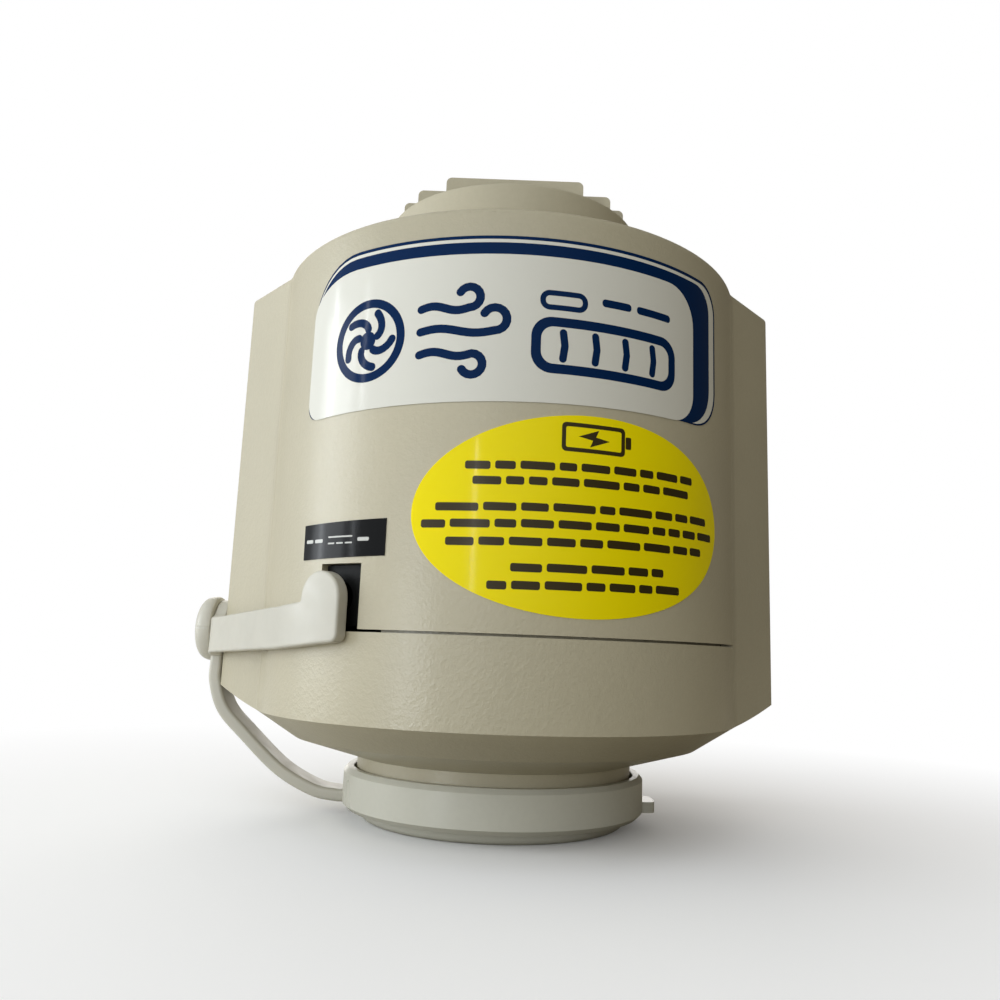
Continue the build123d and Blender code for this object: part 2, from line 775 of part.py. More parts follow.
# ---------------------------------------------------------------- handle
handle_y = (back_y + handle_back) / 2
handle_wall = 3.0
handle_outer_r = 18.0
handle_gap_r = 9.0
handle_edge_r = 5.0
half_gap = 0.05            # each half stops short of the middle plane
counterbore_x = 11.4
cross_head_r = 2.4
handle_z = (handle_top + handle_bottom) / 2
gap_z = (handle_gap_top + handle_gap_bottom) / 2
cross_screws = [(85.5, 106.0), (84.0, 42.0), (56.0, 31.4)]   # (y, z), screwed in from the right
switch_y = 63.5
switch_top = handle_top + 1.2

with BuildSketch(Plane.YZ) as handle_side:
    with Locations((back_y, handle_z)):
        RectangleRounded(2 * (handle_back - back_y), handle_top - handle_bottom, handle_outer_r)
    with Locations((back_y, gap_z)):
        RectangleRounded(2 * (handle_gap_back - back_y), handle_gap_top - handle_gap_bottom,
                         handle_gap_r, mode=Mode.SUBTRACT)
    with Locations((back_y - big / 2, handle_z)):
        Rectangle(big, big, mode=Mode.SUBTRACT)

handle_cavity = offset(handle_side.sketch, amount=-handle_wall)


def handle_half(side):
    """One moulded half of the D handle; side is +1 for the right half and -1 for the left."""
    with BuildPart() as half:
        extrude(handle_side.sketch, amount=side * handle_w / 2)
        rim = half.faces().filter_by(Plane.YZ).sort_by(Axis.X)[-1 if side > 0 else 0].edges()
        fillet([edge for edge in rim if edge.center().Y > back_y + 0.1], handle_edge_r)
        extrude(handle_cavity, amount=side * (handle_w / 2 - handle_wall), mode=Mode.SUBTRACT)
        # seam between the halves
        with BuildSketch(Plane.YZ):
            with Locations((handle_y, handle_z)):
                Rectangle(big, big)
        extrude(amount=side * half_gap, mode=Mode.SUBTRACT)
        with BuildSketch(Plane.YZ.offset(side * half_gap)):
            with Locations(cross_screws):
                Circle(boss_r)
        extrude(amount=side * (handle_w / 2 - 2))
        with BuildSketch(Plane.YZ.offset(side * half_gap)):
            with Locations(cross_screws):
                Circle(cover_screw_r)
        extrude(amount=side * (9.0 if side < 0 else 20.0), mode=Mode.SUBTRACT)
        if side > 0:
            with BuildSketch(Plane.YZ.offset(counterbore_x)):
                with Locations(cross_screws):
                    Circle(cross_head_r + 0.5)
            extrude(amount=4, mode=Mode.SUBTRACT)
        # opening for the switch
        with BuildSketch(Plane.XY.offset(handle_top - 5)):
            with Locations((0, switch_y)):
                Rectangle(12.8, 16.6)
        extrude(amount=10, mode=Mode.SUBTRACT)
        # pilot holes and lead passage in the end walls
        with BuildSketch(Plane.XZ.offset(-back_y + 1)):
            with Locations(handle_screw_spots):
                Circle(screw_r)
            with Locations((0, lead_hole_z)):
                Circle(lead_hole_r)
        extrude(amount=-7, mode=Mode.SUBTRACT)
    return half


handle_right = handle_half(1)
handle_left = handle_half(-1)

with BuildPart() as handle_grip:
    with BuildSketch(Plane.XZ.offset(-handle_back)):
        with Locations((0, gap_z)):
            RectangleRounded(15, 50, 5)
    extrude(amount=-1.6)
    fillet(handle_grip.faces().sort_by(Axis.Y)[-1].edges(), 0.7)
    with BuildSketch(Plane.XZ.offset(-handle_back - 1.0)):
        with Locations([(0, gap_z + 5.5 * row) for row in range(-4, 5)]):
            SlotOverall(11, 1.6)
    extrude(amount=-2, mode=Mode.SUBTRACT)

with BuildPart() as cross_handle_screws:
    with BuildSketch(Plane.YZ.offset(-8.5)):
        with Locations(cross_screws):
            Circle(cover_screw_r)
    extrude(amount=8.5 + counterbore_x)
    with BuildSketch(Plane.YZ.offset(counterbore_x)):
        with Locations(cross_screws):
            Circle(cross_head_r)
    extrude(amount=1.4)
    with BuildSketch(Plane.YZ.offset(counterbore_x + 1.5)):
        with Locations(cross_screws):
            Rectangle(2.8, 0.7)
            Rectangle(0.7, 2.8)
    extrude(amount=-0.9, mode=Mode.SUBTRACT)

with BuildPart() as handle_mount_screws:
    with BuildSketch(Plane.XZ.offset(-back_y + wall)):
        with Locations(handle_screw_spots):
            Circle(2.0)
    extrude(amount=1.5)
    with BuildSketch(Plane.XZ.offset(-back_y + wall)):
        with Locations(handle_screw_spots):
            Circle(screw_r)
    extrude(amount=-wall - 3.0)

# rocker switch in the top of the handle
rocker_pivot = (0, switch_y, handle_top - 1.0)
rocker_tilt = 9.0
rocker_w = 9.4
with BuildPart() as switch_body:
    with BuildSketch(Plane.XY.offset(handle_top)):
        with Locations((0, switch_y)):
            RectangleRounded(15.4, 19.6, 1.5)
    extrude(amount=switch_top - handle_top)
    fillet(switch_body.faces().sort_by(Axis.Z)[-1].edges(), 0.5)
    with BuildSketch(Plane.XY.offset(handle_top)):
        with Locations((0, switch_y)):
            Rectangle(12.4, 16.2)
    extrude(amount=-10)
    with BuildSketch(Plane.XY.offset(switch_top)):
        with Locations((0, switch_y)):
            Rectangle(rocker_w + 0.6, 13.2)
    extrude(amount=-8.6, mode=Mode.SUBTRACT)
    with BuildSketch(Plane.YZ.offset(-rocker_w / 2 - 1.0)):
        with Locations((switch_y, rocker_pivot[2])):
            Circle(1.05)
    extrude(amount=rocker_w + 2.0, mode=Mode.SUBTRACT)

with BuildPart() as switch_rocker:
    with BuildSketch(Plane.YZ.offset(-rocker_w / 2)):
        with BuildLine():
            Polyline(
                (switch_y - 5.8, rocker_pivot[2] + 3.4),
                (switch_y, rocker_pivot[2] + 2.2),
                (switch_y + 5.8, rocker_pivot[2] + 3.4),
                (switch_y + 5.6, rocker_pivot[2] - 0.4),
                (switch_y + 1.6, rocker_pivot[2] - 3.6),
                (switch_y - 1.6, rocker_pivot[2] - 3.6),
                (switch_y - 5.6, rocker_pivot[2] - 0.4),
                close=True,
            )
        make_face()
    extrude(amount=rocker_w)
    top_ridges = switch_rocker.edges().filter_by(Axis.X).group_by(Axis.Z)[-1]
    fillet(top_ridges, 0.6)
    with BuildSketch(Plane.YZ.offset(-rocker_w / 2 - 0.8)):
        with Locations((switch_y, rocker_pivot[2])):
            Circle(1.0)
    extrude(amount=rocker_w + 1.6)
switch_rocker.part = switch_rocker.part.rotate(Axis(rocker_pivot, (1, 0, 0)), rocker_tilt)

# ---------------------------------------------------------------- nozzle cap
cap_floor = 2.2
cap_wall = 2.3
cap_seat_z = 4.2           # ledge under the nozzle's end, with the gasket on it
with BuildPart() as nozzle_cap:
    with BuildSketch(Plane.XZ):
        with BuildLine():
            Line((0, 0), (cap_disc_r - 2.2, 0))
            ThreePointArc((cap_disc_r - 2.2, 0), (cap_disc_r - 0.65, 0.6), (cap_disc_r, 2.0))
            Polyline(
                (cap_disc_r, 2.0),
                (cap_disc_r, cap_step_z),
                (cap_r - 1.0, cap_step_z),
                (cap_r, cap_step_z + 1.0),
                (cap_r, cap_height - 1.0),
                (cap_r - 0.9, cap_height),
                (cap_r - 2.1, cap_height),
                (cap_r - cap_wall, cap_height - 0.3),
                (cap_r - cap_wall, cap_seat_z),
                (duct_r - 0.3, cap_seat_z),
                (duct_r - 0.3, cap_floor),
                (0, cap_floor),
                (0, 0),
            )
        make_face()
    revolve(axis=Axis.Z)
    # pull tab on the right side
    with BuildSketch(Plane.XY.offset(cap_step_z + 0.4)):
        with Locations((cap_r + 0.6, 0)):
            RectangleRounded(4.4, 9, 1.8)
    extrude(amount=2.4)
    with BuildSketch(Plane.XY.offset(cap_seat_z)):
        Circle(cap_r - cap_wall)
    extrude(amount=4, mode=Mode.SUBTRACT)

with BuildPart() as cap_gasket:
    with BuildSketch(Plane.XY.offset(cap_seat_z)):
        Circle(cap_r - 2.4)
        Circle(duct_r, mode=Mode.SUBTRACT)
    extrude(amount=0.7)

# ---------------------------------------------------------------- socket cover and straps
strap_mid_r = barrel_r + strap_gap + strap_t / 2
hinge_r = hypot(hinge_x, hinge_y)
hinge_az = degrees(atan2(hinge_x, -hinge_y))
tangent_az = hinge_az + degrees(acos(strap_mid_r / hinge_r))
flap_az = -36.8            # middle of the flap
flap_half = 5.1
flap_top = 52.2
flap_bottom = 39.0
strap_foot = 35.5          # strap height at the wing corner
strap_head = 43.7
flap_plane = Plane(
    origin=(0, 0, 0),
    x_dir=(cos(radians(flap_az)), sin(radians(flap_az)), 0),
    z_dir=(sin(radians(flap_az)), -cos(radians(flap_az)), 0),
)

with BuildPart() as jack_cover:
    # band in plan: round the barrel, then straight to the wing's corner
    with BuildSketch(Plane.XY.offset(strap_foot - 2)):
        with BuildLine():
            band_arc = CenterArc((0, 0), strap_mid_r, tangent_az - 90, flap_az + 7 - tangent_az)
            Line((hinge_x, hinge_y), band_arc @ 0)
        trace(line_width=strap_t)
        with Locations((hinge_x, hinge_y)):
            Circle(strap_t / 2)
    extrude(amount=flap_top - strap_foot + 4)
    # outline seen square to the flap
    with BuildSketch(flap_plane.offset(barrel_r - 25)):
        with BuildLine():
            Polyline(
                (flap_half, flap_top - flap_half),
                (flap_half, flap_bottom + 1.6),
                (flap_half - 1.6, flap_bottom),
                (-flap_half, flap_bottom - 0.3),
                (-56, strap_foot - 0.3),
                (-56, strap_head - 0.2),
                (-flap_half, 46.2),
                (-flap_half, flap_top - flap_half),
            )
            ThreePointArc(
                (-flap_half, flap_top - flap_half), (0, flap_top), (flap_half, flap_top - flap_half)
            )
        make_face()
    extrude(amount=50, mode=Mode.INTERSECT)
    # prong that plugs the socket's bore
    with BuildSketch(socket_plane.offset(strap_gap + 0.6)):
        with Locations((jack_bore_u, jack_bore_v)):
            Circle(2.3)
    extrude(amount=-4.6, taper=5)

with BuildPart() as strap_tail:
    # flat limb from the corner to the anchor, with the stub that carries the cap's tether
    with BuildSketch(Plane.YZ.offset(hinge_x - strap_t / 2)):
        with Locations((anchor_y, anchor_z)):
            Circle(6.9)
        with Locations(((hinge_y + anchor_y) / 2, (strap_foot + strap_head) / 2)):
            Rectangle(anchor_y - hinge_y, strap_head - strap_foot)
        with Locations((1.5, 37.0)):
            Rectangle(9, 7)
        with Locations((anchor_y, anchor_z)):
            Circle(2.6, mode=Mode.SUBTRACT)
    extrude(amount=strap_t)
    with BuildSketch(Plane.XY.offset(30)):
        with Locations((hinge_x, hinge_y)):
            Circle(strap_t / 2 + 0.4)
    extrude(amount=20, mode=Mode.SUBTRACT)

anchor_head_x = hinge_x - strap_t / 2 - 0.1
anchor_head_r = 7.65
anchor_head_t = 4.5
anchor_stem_r = 2.4
with BuildPart() as strap_anchor:
    with BuildSketch(Plane.YZ.offset(anchor_head_x)):
        with Locations((anchor_y, anchor_z)):
            Circle(anchor_head_r)
    extrude(amount=-anchor_head_t)
    fillet(strap_anchor.faces().sort_by(Axis.X)[0].edges(), 3.2)
    with BuildSketch(Plane.YZ.offset(anchor_head_x)):
        with Locations((anchor_y, anchor_z)):
            Circle(anchor_stem_r)
    extrude(amount=-anchor_head_x - 60.6)
    with BuildSketch(Plane.YZ.offset(wall + 0.2 - wing_x)):
        with Locations((anchor_y, anchor_z)):
            Circle(3.7)
    extrude(amount=1.6)
    fillet(strap_anchor.faces().sort_by(Axis.X)[-1].edges(), 0.7)

tether_w = 9.0             # flat strap from the anchor to the cap
tether_t = 2.8
tether_front = -3.0
tether_bends = [(-64.0, 22.6), (-58.4, 16.9), (-49.9, 9.4), (-41.9, 5.2), (-35.0, 4.1)]
with BuildPart() as cap_tether:
    with BuildSketch(Plane.XZ.offset(-tether_front)):
        with BuildLine() as tether_path:
            run = Line((hinge_x, 33.4), (hinge_x, 29.2))
            for point in tether_bends:
                run = TangentArc(run @ 1, point, tangent=run % 1)
        trace(line_width=tether_t)
    extrude(amount=-tether_w)

# ---------------------------------------------------------------- printed labels

def label_band(low, high, left_az, right_az):
    """A thin film on the barrel between two heights and two azimuths."""
    with BuildPart() as film:
        with BuildSketch(Plane(origin=(0, 0, 0), x_dir=(sin(radians(left_az)), -cos(radians(left_az)), 0),
                               z_dir=(-cos(radians(left_az)), -sin(radians(left_az)), 0))):
            with Locations((barrel_r + label_t / 2, (low + high) / 2)):
                Rectangle(label_t, high - low)
        revolve(axis=Axis.Z, revolution_arc=right_az - left_az)
    return film


front_label = label_band(83.8, 117.7, -48.6, 53.7)
rating_label = label_band(54.9, 62.2, -46.2, -23.3)

oval_az = 17.6
oval_z = 63.5
oval_half_w = 32.3
oval_half_h = 18.6
with BuildPart() as caution_label:
    with BuildSketch(Plane.XY.offset(oval_z - 25)):
        Circle(barrel_r + label_t)
        Circle(barrel_r, mode=Mode.SUBTRACT)
    extrude(amount=50)
    with BuildSketch(Plane(origin=(0, 0, oval_z),
                           x_dir=(cos(radians(oval_az)), sin(radians(oval_az)), 0),
                           z_dir=(sin(radians(oval_az)), -cos(radians(oval_az)), 0))):
        Ellipse(oval_half_w, oval_half_h, rotation=2)
    extrude(amount=80, mode=Mode.INTERSECT)

# ---------------------------------------------------------------- leads
lead_r = 0.9
bend_r = 1.9


def lead(points):
    """An insulated lead along straight runs joined by bends."""
    with BuildPart() as wire:
        with BuildLine() as route:
            FilletPolyline(*points, radius=bend_r)
        with BuildSketch(Plane(origin=route.line @ 0, z_dir=route.line % 0)):
            Circle(lead_r)
        sweep(path=route.line)
    return wire.part


terminal_z = motor_top + 9.6
switch_feed = lead([(11, 0, terminal_z), (11, 0, 114), (1.2, 18, lead_hole_z), (1.2, 54, lead_hole_z)])
pack_feed = lead([(-11, 0, terminal_z), (-11, 0, 114), (-24, 14, lead_hole_z), (-24, 22, lead_hole_z)])
switch_return = lead([(-1.2, 54, lead_hole_z), (-1.2, 32, lead_hole_z), (-40, 28, lead_hole_z)])

jack_pair = []
for side in (-3, 3):
    lug = socket_plane.from_local_coords((side, 4.0, jack_front - 15.2))
    back = socket_plane.from_local_coords((side, 4.0, jack_front - 19.2))
    rise = 66.0 + side
    jack_pair.append(lead([lug, back, (back.X, back.Y, rise), (back.X, board_back + 0.1, rise)]))

with BuildPart() as motor_leads:
    add([switch_feed, pack_feed])

with BuildPart() as switch_lead:
    add(switch_return)

with BuildPart() as jack_leads:
    add(jack_pair)


pieces = {
    "front_shell": front_shell, "lower_bowl": lower_bowl, "rear_shell": rear_shell,
    "top_cover": top_cover, "cover_screws": cover_screws, "inlet_grille": inlet_grille,
    "inlet_filter": inlet_filter, "fan_housing": fan_housing, "impeller": impeller,
    "impeller_nut": impeller_nut, "return_vanes": return_vanes, "nozzle_guard": nozzle_guard,
    "motor_can": motor_can, "motor_end_bell": motor_end_bell, "motor_terminals": motor_terminals,
    "motor_magnets": motor_magnets, "motor_armature": motor_armature,
    "motor_windings": motor_windings, "motor_commutator": motor_commutator,
    "carbon_brushes": carbon_brushes, "motor_shaft": motor_shaft,
    "motor_bearings": motor_bearings, "motor_screws": motor_screws,
    "housing_screws": housing_screws, "battery_cells": battery_cells,
    "battery_trays": battery_trays, "cell_links": cell_links, "charge_board": charge_board,
    "board_parts": board_parts, "board_screws": board_screws, "dc_jack": dc_jack,
    "jack_contacts": jack_contacts, "handle_right": handle_right, "handle_left": handle_left,
    "handle_grip": handle_grip, "cross_handle_screws": cross_handle_screws,
    "handle_mount_screws": handle_mount_screws, "switch_body": switch_body,
    "switch_rocker": switch_rocker, "nozzle_cap": nozzle_cap, "cap_gasket": cap_gasket,
    "jack_cover": jack_cover, "strap_tail": strap_tail, "strap_anchor": strap_anchor,
    "cap_tether": cap_tether, "front_label": front_label, "rating_label": rating_label,
    "caution_label": caution_label, "motor_leads": motor_leads, "switch_lead": switch_lead,
    "jack_leads": jack_leads,
}
for label, piece in pieces.items():
    piece.part.label = label
    export_step(piece.part, f"parts/{label}.step")
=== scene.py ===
"""Looks for a cordless electric air mattress pump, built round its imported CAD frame.

Metres, +Z up, -Y the labelled front, origin under the nozzle cap the pump stands on.
Outlines of prints and moulded straps are given in millimetres and scaled by MM.
"""
import json
import random
from math import acos, atan2, cos, degrees, hypot, pi, radians, sin, tan, tau

import bmesh
import bpy
from mathutils import Matrix, Vector
from mathutils.geometry import tessellate_polygon


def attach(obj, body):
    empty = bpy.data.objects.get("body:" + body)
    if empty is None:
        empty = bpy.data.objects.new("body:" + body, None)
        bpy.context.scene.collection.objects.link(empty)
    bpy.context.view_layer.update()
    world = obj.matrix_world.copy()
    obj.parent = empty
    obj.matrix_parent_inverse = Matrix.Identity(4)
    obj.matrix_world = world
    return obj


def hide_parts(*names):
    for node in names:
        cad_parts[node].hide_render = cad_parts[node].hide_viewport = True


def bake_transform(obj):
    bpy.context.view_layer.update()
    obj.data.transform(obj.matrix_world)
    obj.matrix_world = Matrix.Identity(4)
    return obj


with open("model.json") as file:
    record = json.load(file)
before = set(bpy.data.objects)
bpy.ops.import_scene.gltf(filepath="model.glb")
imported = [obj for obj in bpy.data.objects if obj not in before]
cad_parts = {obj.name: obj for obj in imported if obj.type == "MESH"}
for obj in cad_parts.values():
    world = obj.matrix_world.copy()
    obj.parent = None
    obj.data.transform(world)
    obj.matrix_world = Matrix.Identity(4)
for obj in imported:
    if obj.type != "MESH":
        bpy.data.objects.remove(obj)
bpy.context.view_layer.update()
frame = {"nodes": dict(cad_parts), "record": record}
nodes = frame["nodes"]
scene = bpy.context.scene

MM = 0.001
BARREL_R = 55.0                      # outside of the round front, mm
STRAP_T = 3.0                        # thickness of the moulded strap
STRAP_GAP = 0.3                      # strap off the barrel
STRAP_R = BARREL_R + STRAP_GAP + STRAP_T / 2
STRAP_START_AZ = -28.0               # where distances along the strap start, degrees round the barrel
FLAP_AZ = -36.3                      # middle of the flap
HINGE = (-66.5, -4.4)                # where the strap bends round the wing's corner
ANCHOR_Y, ANCHOR_Z = 3.5, 41.2       # button on the left wing
PLUG_AZ, PLUG_Z = -38.0, 46.4        # prong behind the flap


# ------------------------------------------------------------------ camera
def make_camera():
    """The photograph's view: close, slightly below the middle of the pump and looking up."""
    pitch, roll = radians(9.72), radians(2.13)
    ahead = Vector((0, cos(pitch), sin(pitch)))
    level = Vector((1, 0, 0))
    upright = Vector((0, -sin(pitch), cos(pitch)))
    right = cos(roll) * level + sin(roll) * upright
    up = -sin(roll) * level + cos(roll) * upright
    data = bpy.data.cameras.new("camera")
    data.sensor_width = 36.0
    data.lens = 31.41
    data.clip_start = 0.01
    camera = bpy.data.objects.new("camera", data)
    scene.collection.objects.link(camera)
    turn = Matrix((right, up, -ahead)).transposed().to_4x4()
    camera.matrix_world = Matrix.Translation((-0.00077, -0.21296, 0.0386)) @ turn
    scene.camera = camera


# ------------------------------------------------------------------ materials
def scaled(colour, factor, lift=0.0):
    """The colour darkened or lightened, never above white."""
    return (*(min(1.0, c * factor + lift) for c in colour[:3]), 1.0)


def srgb(*values):
    """0-255 screen colour as linear RGBA."""
    linear = [(v / 255 / 12.92) if v < 11 else ((v / 255 + 0.055) / 1.055) ** 2.4 for v in values]
    return (*linear, 1.0)


class Shader:
    """A Principled material and short ways to add procedural nodes to it."""

    def __init__(self, name):
        self.material = bpy.data.materials.new(name)
        self.material.use_nodes = True
        self.tree = self.material.node_tree
        self.bsdf = self.tree.nodes["Principled BSDF"]
        coords = self.tree.nodes.new("ShaderNodeTexCoord")
        self.where = coords.outputs["Object"]

    def node(self, kind, inputs=(), **settings):
        made = self.tree.nodes.new(kind)
        for key, value in settings.items():
            setattr(made, key, value)
        for key, value in dict(inputs).items():
            if isinstance(value, bpy.types.NodeSocket):
                self.tree.links.new(value, made.inputs[key])
            else:
                made.inputs[key].default_value = value
        return made

    def stretched(self, scale):
        """Object coordinates stretched by scale along each axis."""
        return self.node("ShaderNodeMapping", {"Vector": self.where, "Scale": scale}).outputs[0]

    def noise(self, scale, detail=3.0, rough=0.5, where=None):
        inputs = {"Vector": where or self.where, "Scale": scale, "Detail": detail, "Roughness": rough}
        return self.node("ShaderNodeTexNoise", inputs).outputs["Fac"]

    def cells(self, scale):
        return self.node("ShaderNodeTexVoronoi", {"Vector": self.where, "Scale": scale}).outputs["Distance"]

    def spread(self, value, low, high, out_low=0.0, out_high=1.0):
        """value from low..high mapped to out_low..out_high, clamped."""
        inputs = {0: value, 1: low, 2: high, 3: out_low, 4: out_high}
        return self.node("ShaderNodeMapRange", inputs).outputs[0]

    def maths(self, operation, a, b):
        return self.node("ShaderNodeMath", {0: a, 1: b}, operation=operation).outputs[0]

    def mix(self, share, a, b, kind="MIX"):
        made = self.node("ShaderNodeMix", data_type="RGBA", blend_type=kind)
        for index, value in ((0, share), (6, a), (7, b)):
            if isinstance(value, bpy.types.NodeSocket):
                self.tree.links.new(value, made.inputs[index])
            else:
                made.inputs[index].default_value = value
        return made.outputs[2]

    def set(self, **values):
        for key, value in values.items():
            socket = self.bsdf.inputs[key.replace("_", " ").title().replace("Ior", "IOR")]
            if isinstance(value, bpy.types.NodeSocket):
                self.tree.links.new(value, socket)
            else:
                socket.default_value = value

    def bump(self, heights):
        """Chains (height, strength, distance in metres) into the normal."""
        normal = None
        for height, strength, distance in heights:
            inputs = {"Height": height, "Strength": strength, "Distance": distance}
            if normal is not None:
                inputs["Normal"] = normal
            normal = self.node("ShaderNodeBump", inputs).outputs[0]
        self.tree.links.new(normal, self.bsdf.inputs["Normal"])

    def edges(self, low=0.52, high=0.60):
        """Share of wear on convex edges."""
        point = self.node("ShaderNodeNewGeometry").outputs["Pointiness"]
        return self.spread(point, low, high)


def moulded(name, colour, rough=0.5, grain=0.35, mottle=0.06, wear=0.25, specular=0.5):
    """Spark-eroded moulded plastic: fine grain, faint cloudiness and rubbed edges."""
    shader = Shader(name)
    cloud = shader.spread(shader.noise(24.0, 2.0, 0.5), 0.15, 0.85)
    base = shader.mix(cloud, scaled(colour, 1 - 2 * mottle), scaled(colour, 1 + mottle))
    speck = shader.spread(shader.noise(900.0, 2.0), 0.35, 0.65)
    base = shader.mix(shader.maths("MULTIPLY", speck, 0.10), base, scaled(colour, 0.72))
    worn = shader.maths("MULTIPLY", shader.edges(), wear)
    base = shader.mix(worn, base, scaled(colour, 1.25))
    fine = shader.noise(2600.0, 2.0, 0.6)
    pits = shader.cells(1100.0)
    gloss = shader.spread(shader.noise(40.0, 2.0), 0.1, 0.9, rough - 0.02, rough + 0.03)
    shader.set(base_color=base, roughness=gloss)
    shader.bsdf.inputs["Specular IOR Level"].default_value = specular
    shader.bump([(fine, grain, 0.00006), (pits, grain * 0.8, 0.00005)])
    return shader.material


def vinyl(name, colour, rough=0.42):
    """Soft moulded vinyl of the straps: satin, slightly cloudy, with handling marks."""
    shader = Shader(name)
    cloud = shader.noise(60.0, 4.0, 0.6)
    base = shader.mix(shader.spread(cloud, 0.3, 0.7), scaled(colour, 0.90), colour)
    grime = shader.spread(shader.noise(260.0, 5.0, 0.7), 0.60, 0.78, 0.0, 0.22)
    base = shader.mix(grime, base, scaled(colour, 0.62))
    gloss = shader.spread(shader.noise(300.0, 3.0), 0.3, 0.7, rough - 0.05, rough + 0.08)
    shader.set(base_color=base, roughness=gloss)
    shader.bsdf.inputs["Subsurface Weight"].default_value = 0.06
    shader.bsdf.inputs["Subsurface Radius"].default_value = (0.002, 0.0015, 0.001)
    shader.bump([(shader.noise(1800.0, 3.0), 0.18, 0.00005), (cloud, 0.15, 0.0003)])
    return shader.material


def printed(name, colour, rough=0.10, specular=0.4):
    """Glossy printed film, very slightly wavy, with dust and fine scratches."""
    shader = Shader(name)
    dust = shader.spread(shader.noise(1400.0, 3.0, 0.6), 0.64, 0.78, 0.0, 0.20)
    fade = shader.spread(shader.noise(35.0, 2.0), 0.3, 0.7, 0.0, 0.10)
    base = shader.mix(fade, colour, scaled(colour, 0.92, 0.002))
    base = shader.mix(dust, base, scaled(colour, 0.86, 0.006))
    lines = shader.noise(500.0, 5.0, 0.7, shader.stretched((1.0, 1.0, 0.15)))
    gloss = shader.spread(lines, 0.35, 0.75, rough, rough + 0.08)
    shader.set(base_color=base, roughness=gloss)
    shader.bsdf.inputs["Specular IOR Level"].default_value = specular
    shader.bump([(shader.noise(90.0, 2.0), 0.12, 0.0003), (lines, 0.03, 0.00003)])
    return shader.material


def metal(name, colour, rough=0.3, brushed=(1.0, 1.0, 12.0), tarnish=0.25):
    """Plated, drawn or stamped metal with brushing, tarnish and worn edges."""
    shader = Shader(name)
    brush = shader.noise(400.0, 5.0, 0.7, shader.stretched(brushed))
    stain = shader.spread(shader.noise(90.0, 4.0, 0.6), 0.42, 0.72, 0.0, tarnish)
    base = shader.mix(stain, colour, scaled(colour, 0.55))
    worn = shader.maths("MULTIPLY", shader.edges(), 0.4)
    base = shader.mix(worn, base, scaled(colour, 1.4))
    gloss = shader.spread(brush, 0.3, 0.7, rough - 0.08, rough + 0.14)
    shader.set(base_color=base, roughness=gloss, metallic=1.0)
    shader.bump([(brush, 0.22, 0.00006)])
    return shader.material


def porous(name, colour, scale=700.0):
    """Open-cell foam, with painted shade darkening its pores."""
    shader = Shader(name)
    pores = shader.cells(scale)
    # the pores are painted darker: painted shade inside the open cells, while the bump gives their relief
    base = shader.mix(shader.spread(pores, 0.1, 0.6), scaled(colour, 0.3), colour)
    shader.set(base_color=base, roughness=0.95)
    shader.bump([(pores, 0.9, 0.0006), (shader.noise(240.0, 4.0), 0.4, 0.0006)])
    return shader.material


def wound(name, colour):
    """Enamelled copper wire laid in turns, with painted shade in the grooves between them."""
    shader = Shader(name)
    inputs = {"Vector": shader.where, "Scale": 620.0, "Distortion": 1.6, "Detail": 2.0}
    turns = shader.node("ShaderNodeTexWave", inputs, bands_direction="DIAGONAL").outputs["Fac"]
    # the grooves between turns are painted darker: painted shade between the wires, while the bump gives
    # their relief
    base = shader.mix(turns, scaled(colour, 0.4), colour)
    shader.set(base_color=base, roughness=0.28, metallic=0.85)
    shader.bump([(turns, 0.8, 0.0002)])
    return shader.material


# one material for each slot of the CAD record; the printed slots get new pieces instead
PUTTY = srgb(180, 172, 147)
look = {
    "shell": moulded("shell_putty", PUTTY, 0.29, grain=0.8),
    "cap": moulded("cap_putty", srgb(194, 192, 178), 0.28, grain=0.15, specular=0.6),
    "grille": moulded("grille_putty", PUTTY, 0.50),
    "strap": vinyl("strap_vinyl", srgb(196, 192, 178), 0.36),
    "black_moulding": moulded("black_moulding", srgb(9, 9, 8), 0.55, wear=0.05, specular=0.2),
    "rocker": moulded("rocker_black", srgb(20, 20, 20), 0.25, grain=0.12, wear=0.1),
    "grip": moulded("grip_grey", srgb(92, 90, 84), 0.68, grain=0.6),
    "fan": moulded("fan_nylon", srgb(42, 42, 44), 0.45, grain=0.3),
    "tray": moulded("tray_black", srgb(50, 50, 50), 0.55),
    "carbon": moulded("brush_carbon", srgb(34, 33, 32), 0.6, grain=0.5),
    "component": moulded("component_black", srgb(28, 28, 31), 0.35, grain=0.2),
    "board": moulded("solder_mask", srgb(22, 92, 52), 0.3, grain=0.15, mottle=0.1),
    "cell_wrap": printed("cell_sleeve", srgb(40, 128, 92), 0.3),
    "gasket": vinyl("gasket_rubber", srgb(58, 56, 54), 0.6),
    "wire": vinyl("wire_pvc", srgb(150, 28, 22), 0.4),
    "steel": metal("zinc_steel", srgb(196, 196, 192), 0.3),
    "motor_steel": metal("drawn_steel", srgb(178, 180, 182), 0.32),
    "nickel": metal("nickel_strip", srgb(206, 202, 190), 0.3, (12.0, 1.0, 1.0)),
    "brass": metal("bright_brass", srgb(214, 176, 96), 0.28),
    "ferrite": metal("ferrite", srgb(70, 70, 74), 0.6),
    "lamination": metal("laminations", srgb(120, 118, 114), 0.45, (1.0, 1.0, 60.0)),
    "copper": wound("enamelled_copper", srgb(206, 118, 66)),
    "foam": porous("filter_foam", srgb(46, 46, 48)),
}
for entry in frame["record"]["subparts"]:
    slot_name = entry["material_slot"]
    if slot_name in look:
        mesh = nodes[entry["node"]].data
        mesh.materials.clear()
        mesh.materials.append(look[slot_name])
WHITE_PRINT = printed("white_print", srgb(216, 214, 203), 0.1, 0.3)
NAVY_PRINT = printed("navy_print", srgb(0, 34, 74), 0.07, 0.07)
YELLOW_PRINT = printed("yellow_print", srgb(244, 224, 0), 0.08, 0.14)
BLACK_PRINT = printed("black_print", srgb(8, 8, 8), 0.10, 0.12)
GREY_PRINT = printed("grey_print", srgb(196, 196, 190), 0.2, 0.2)
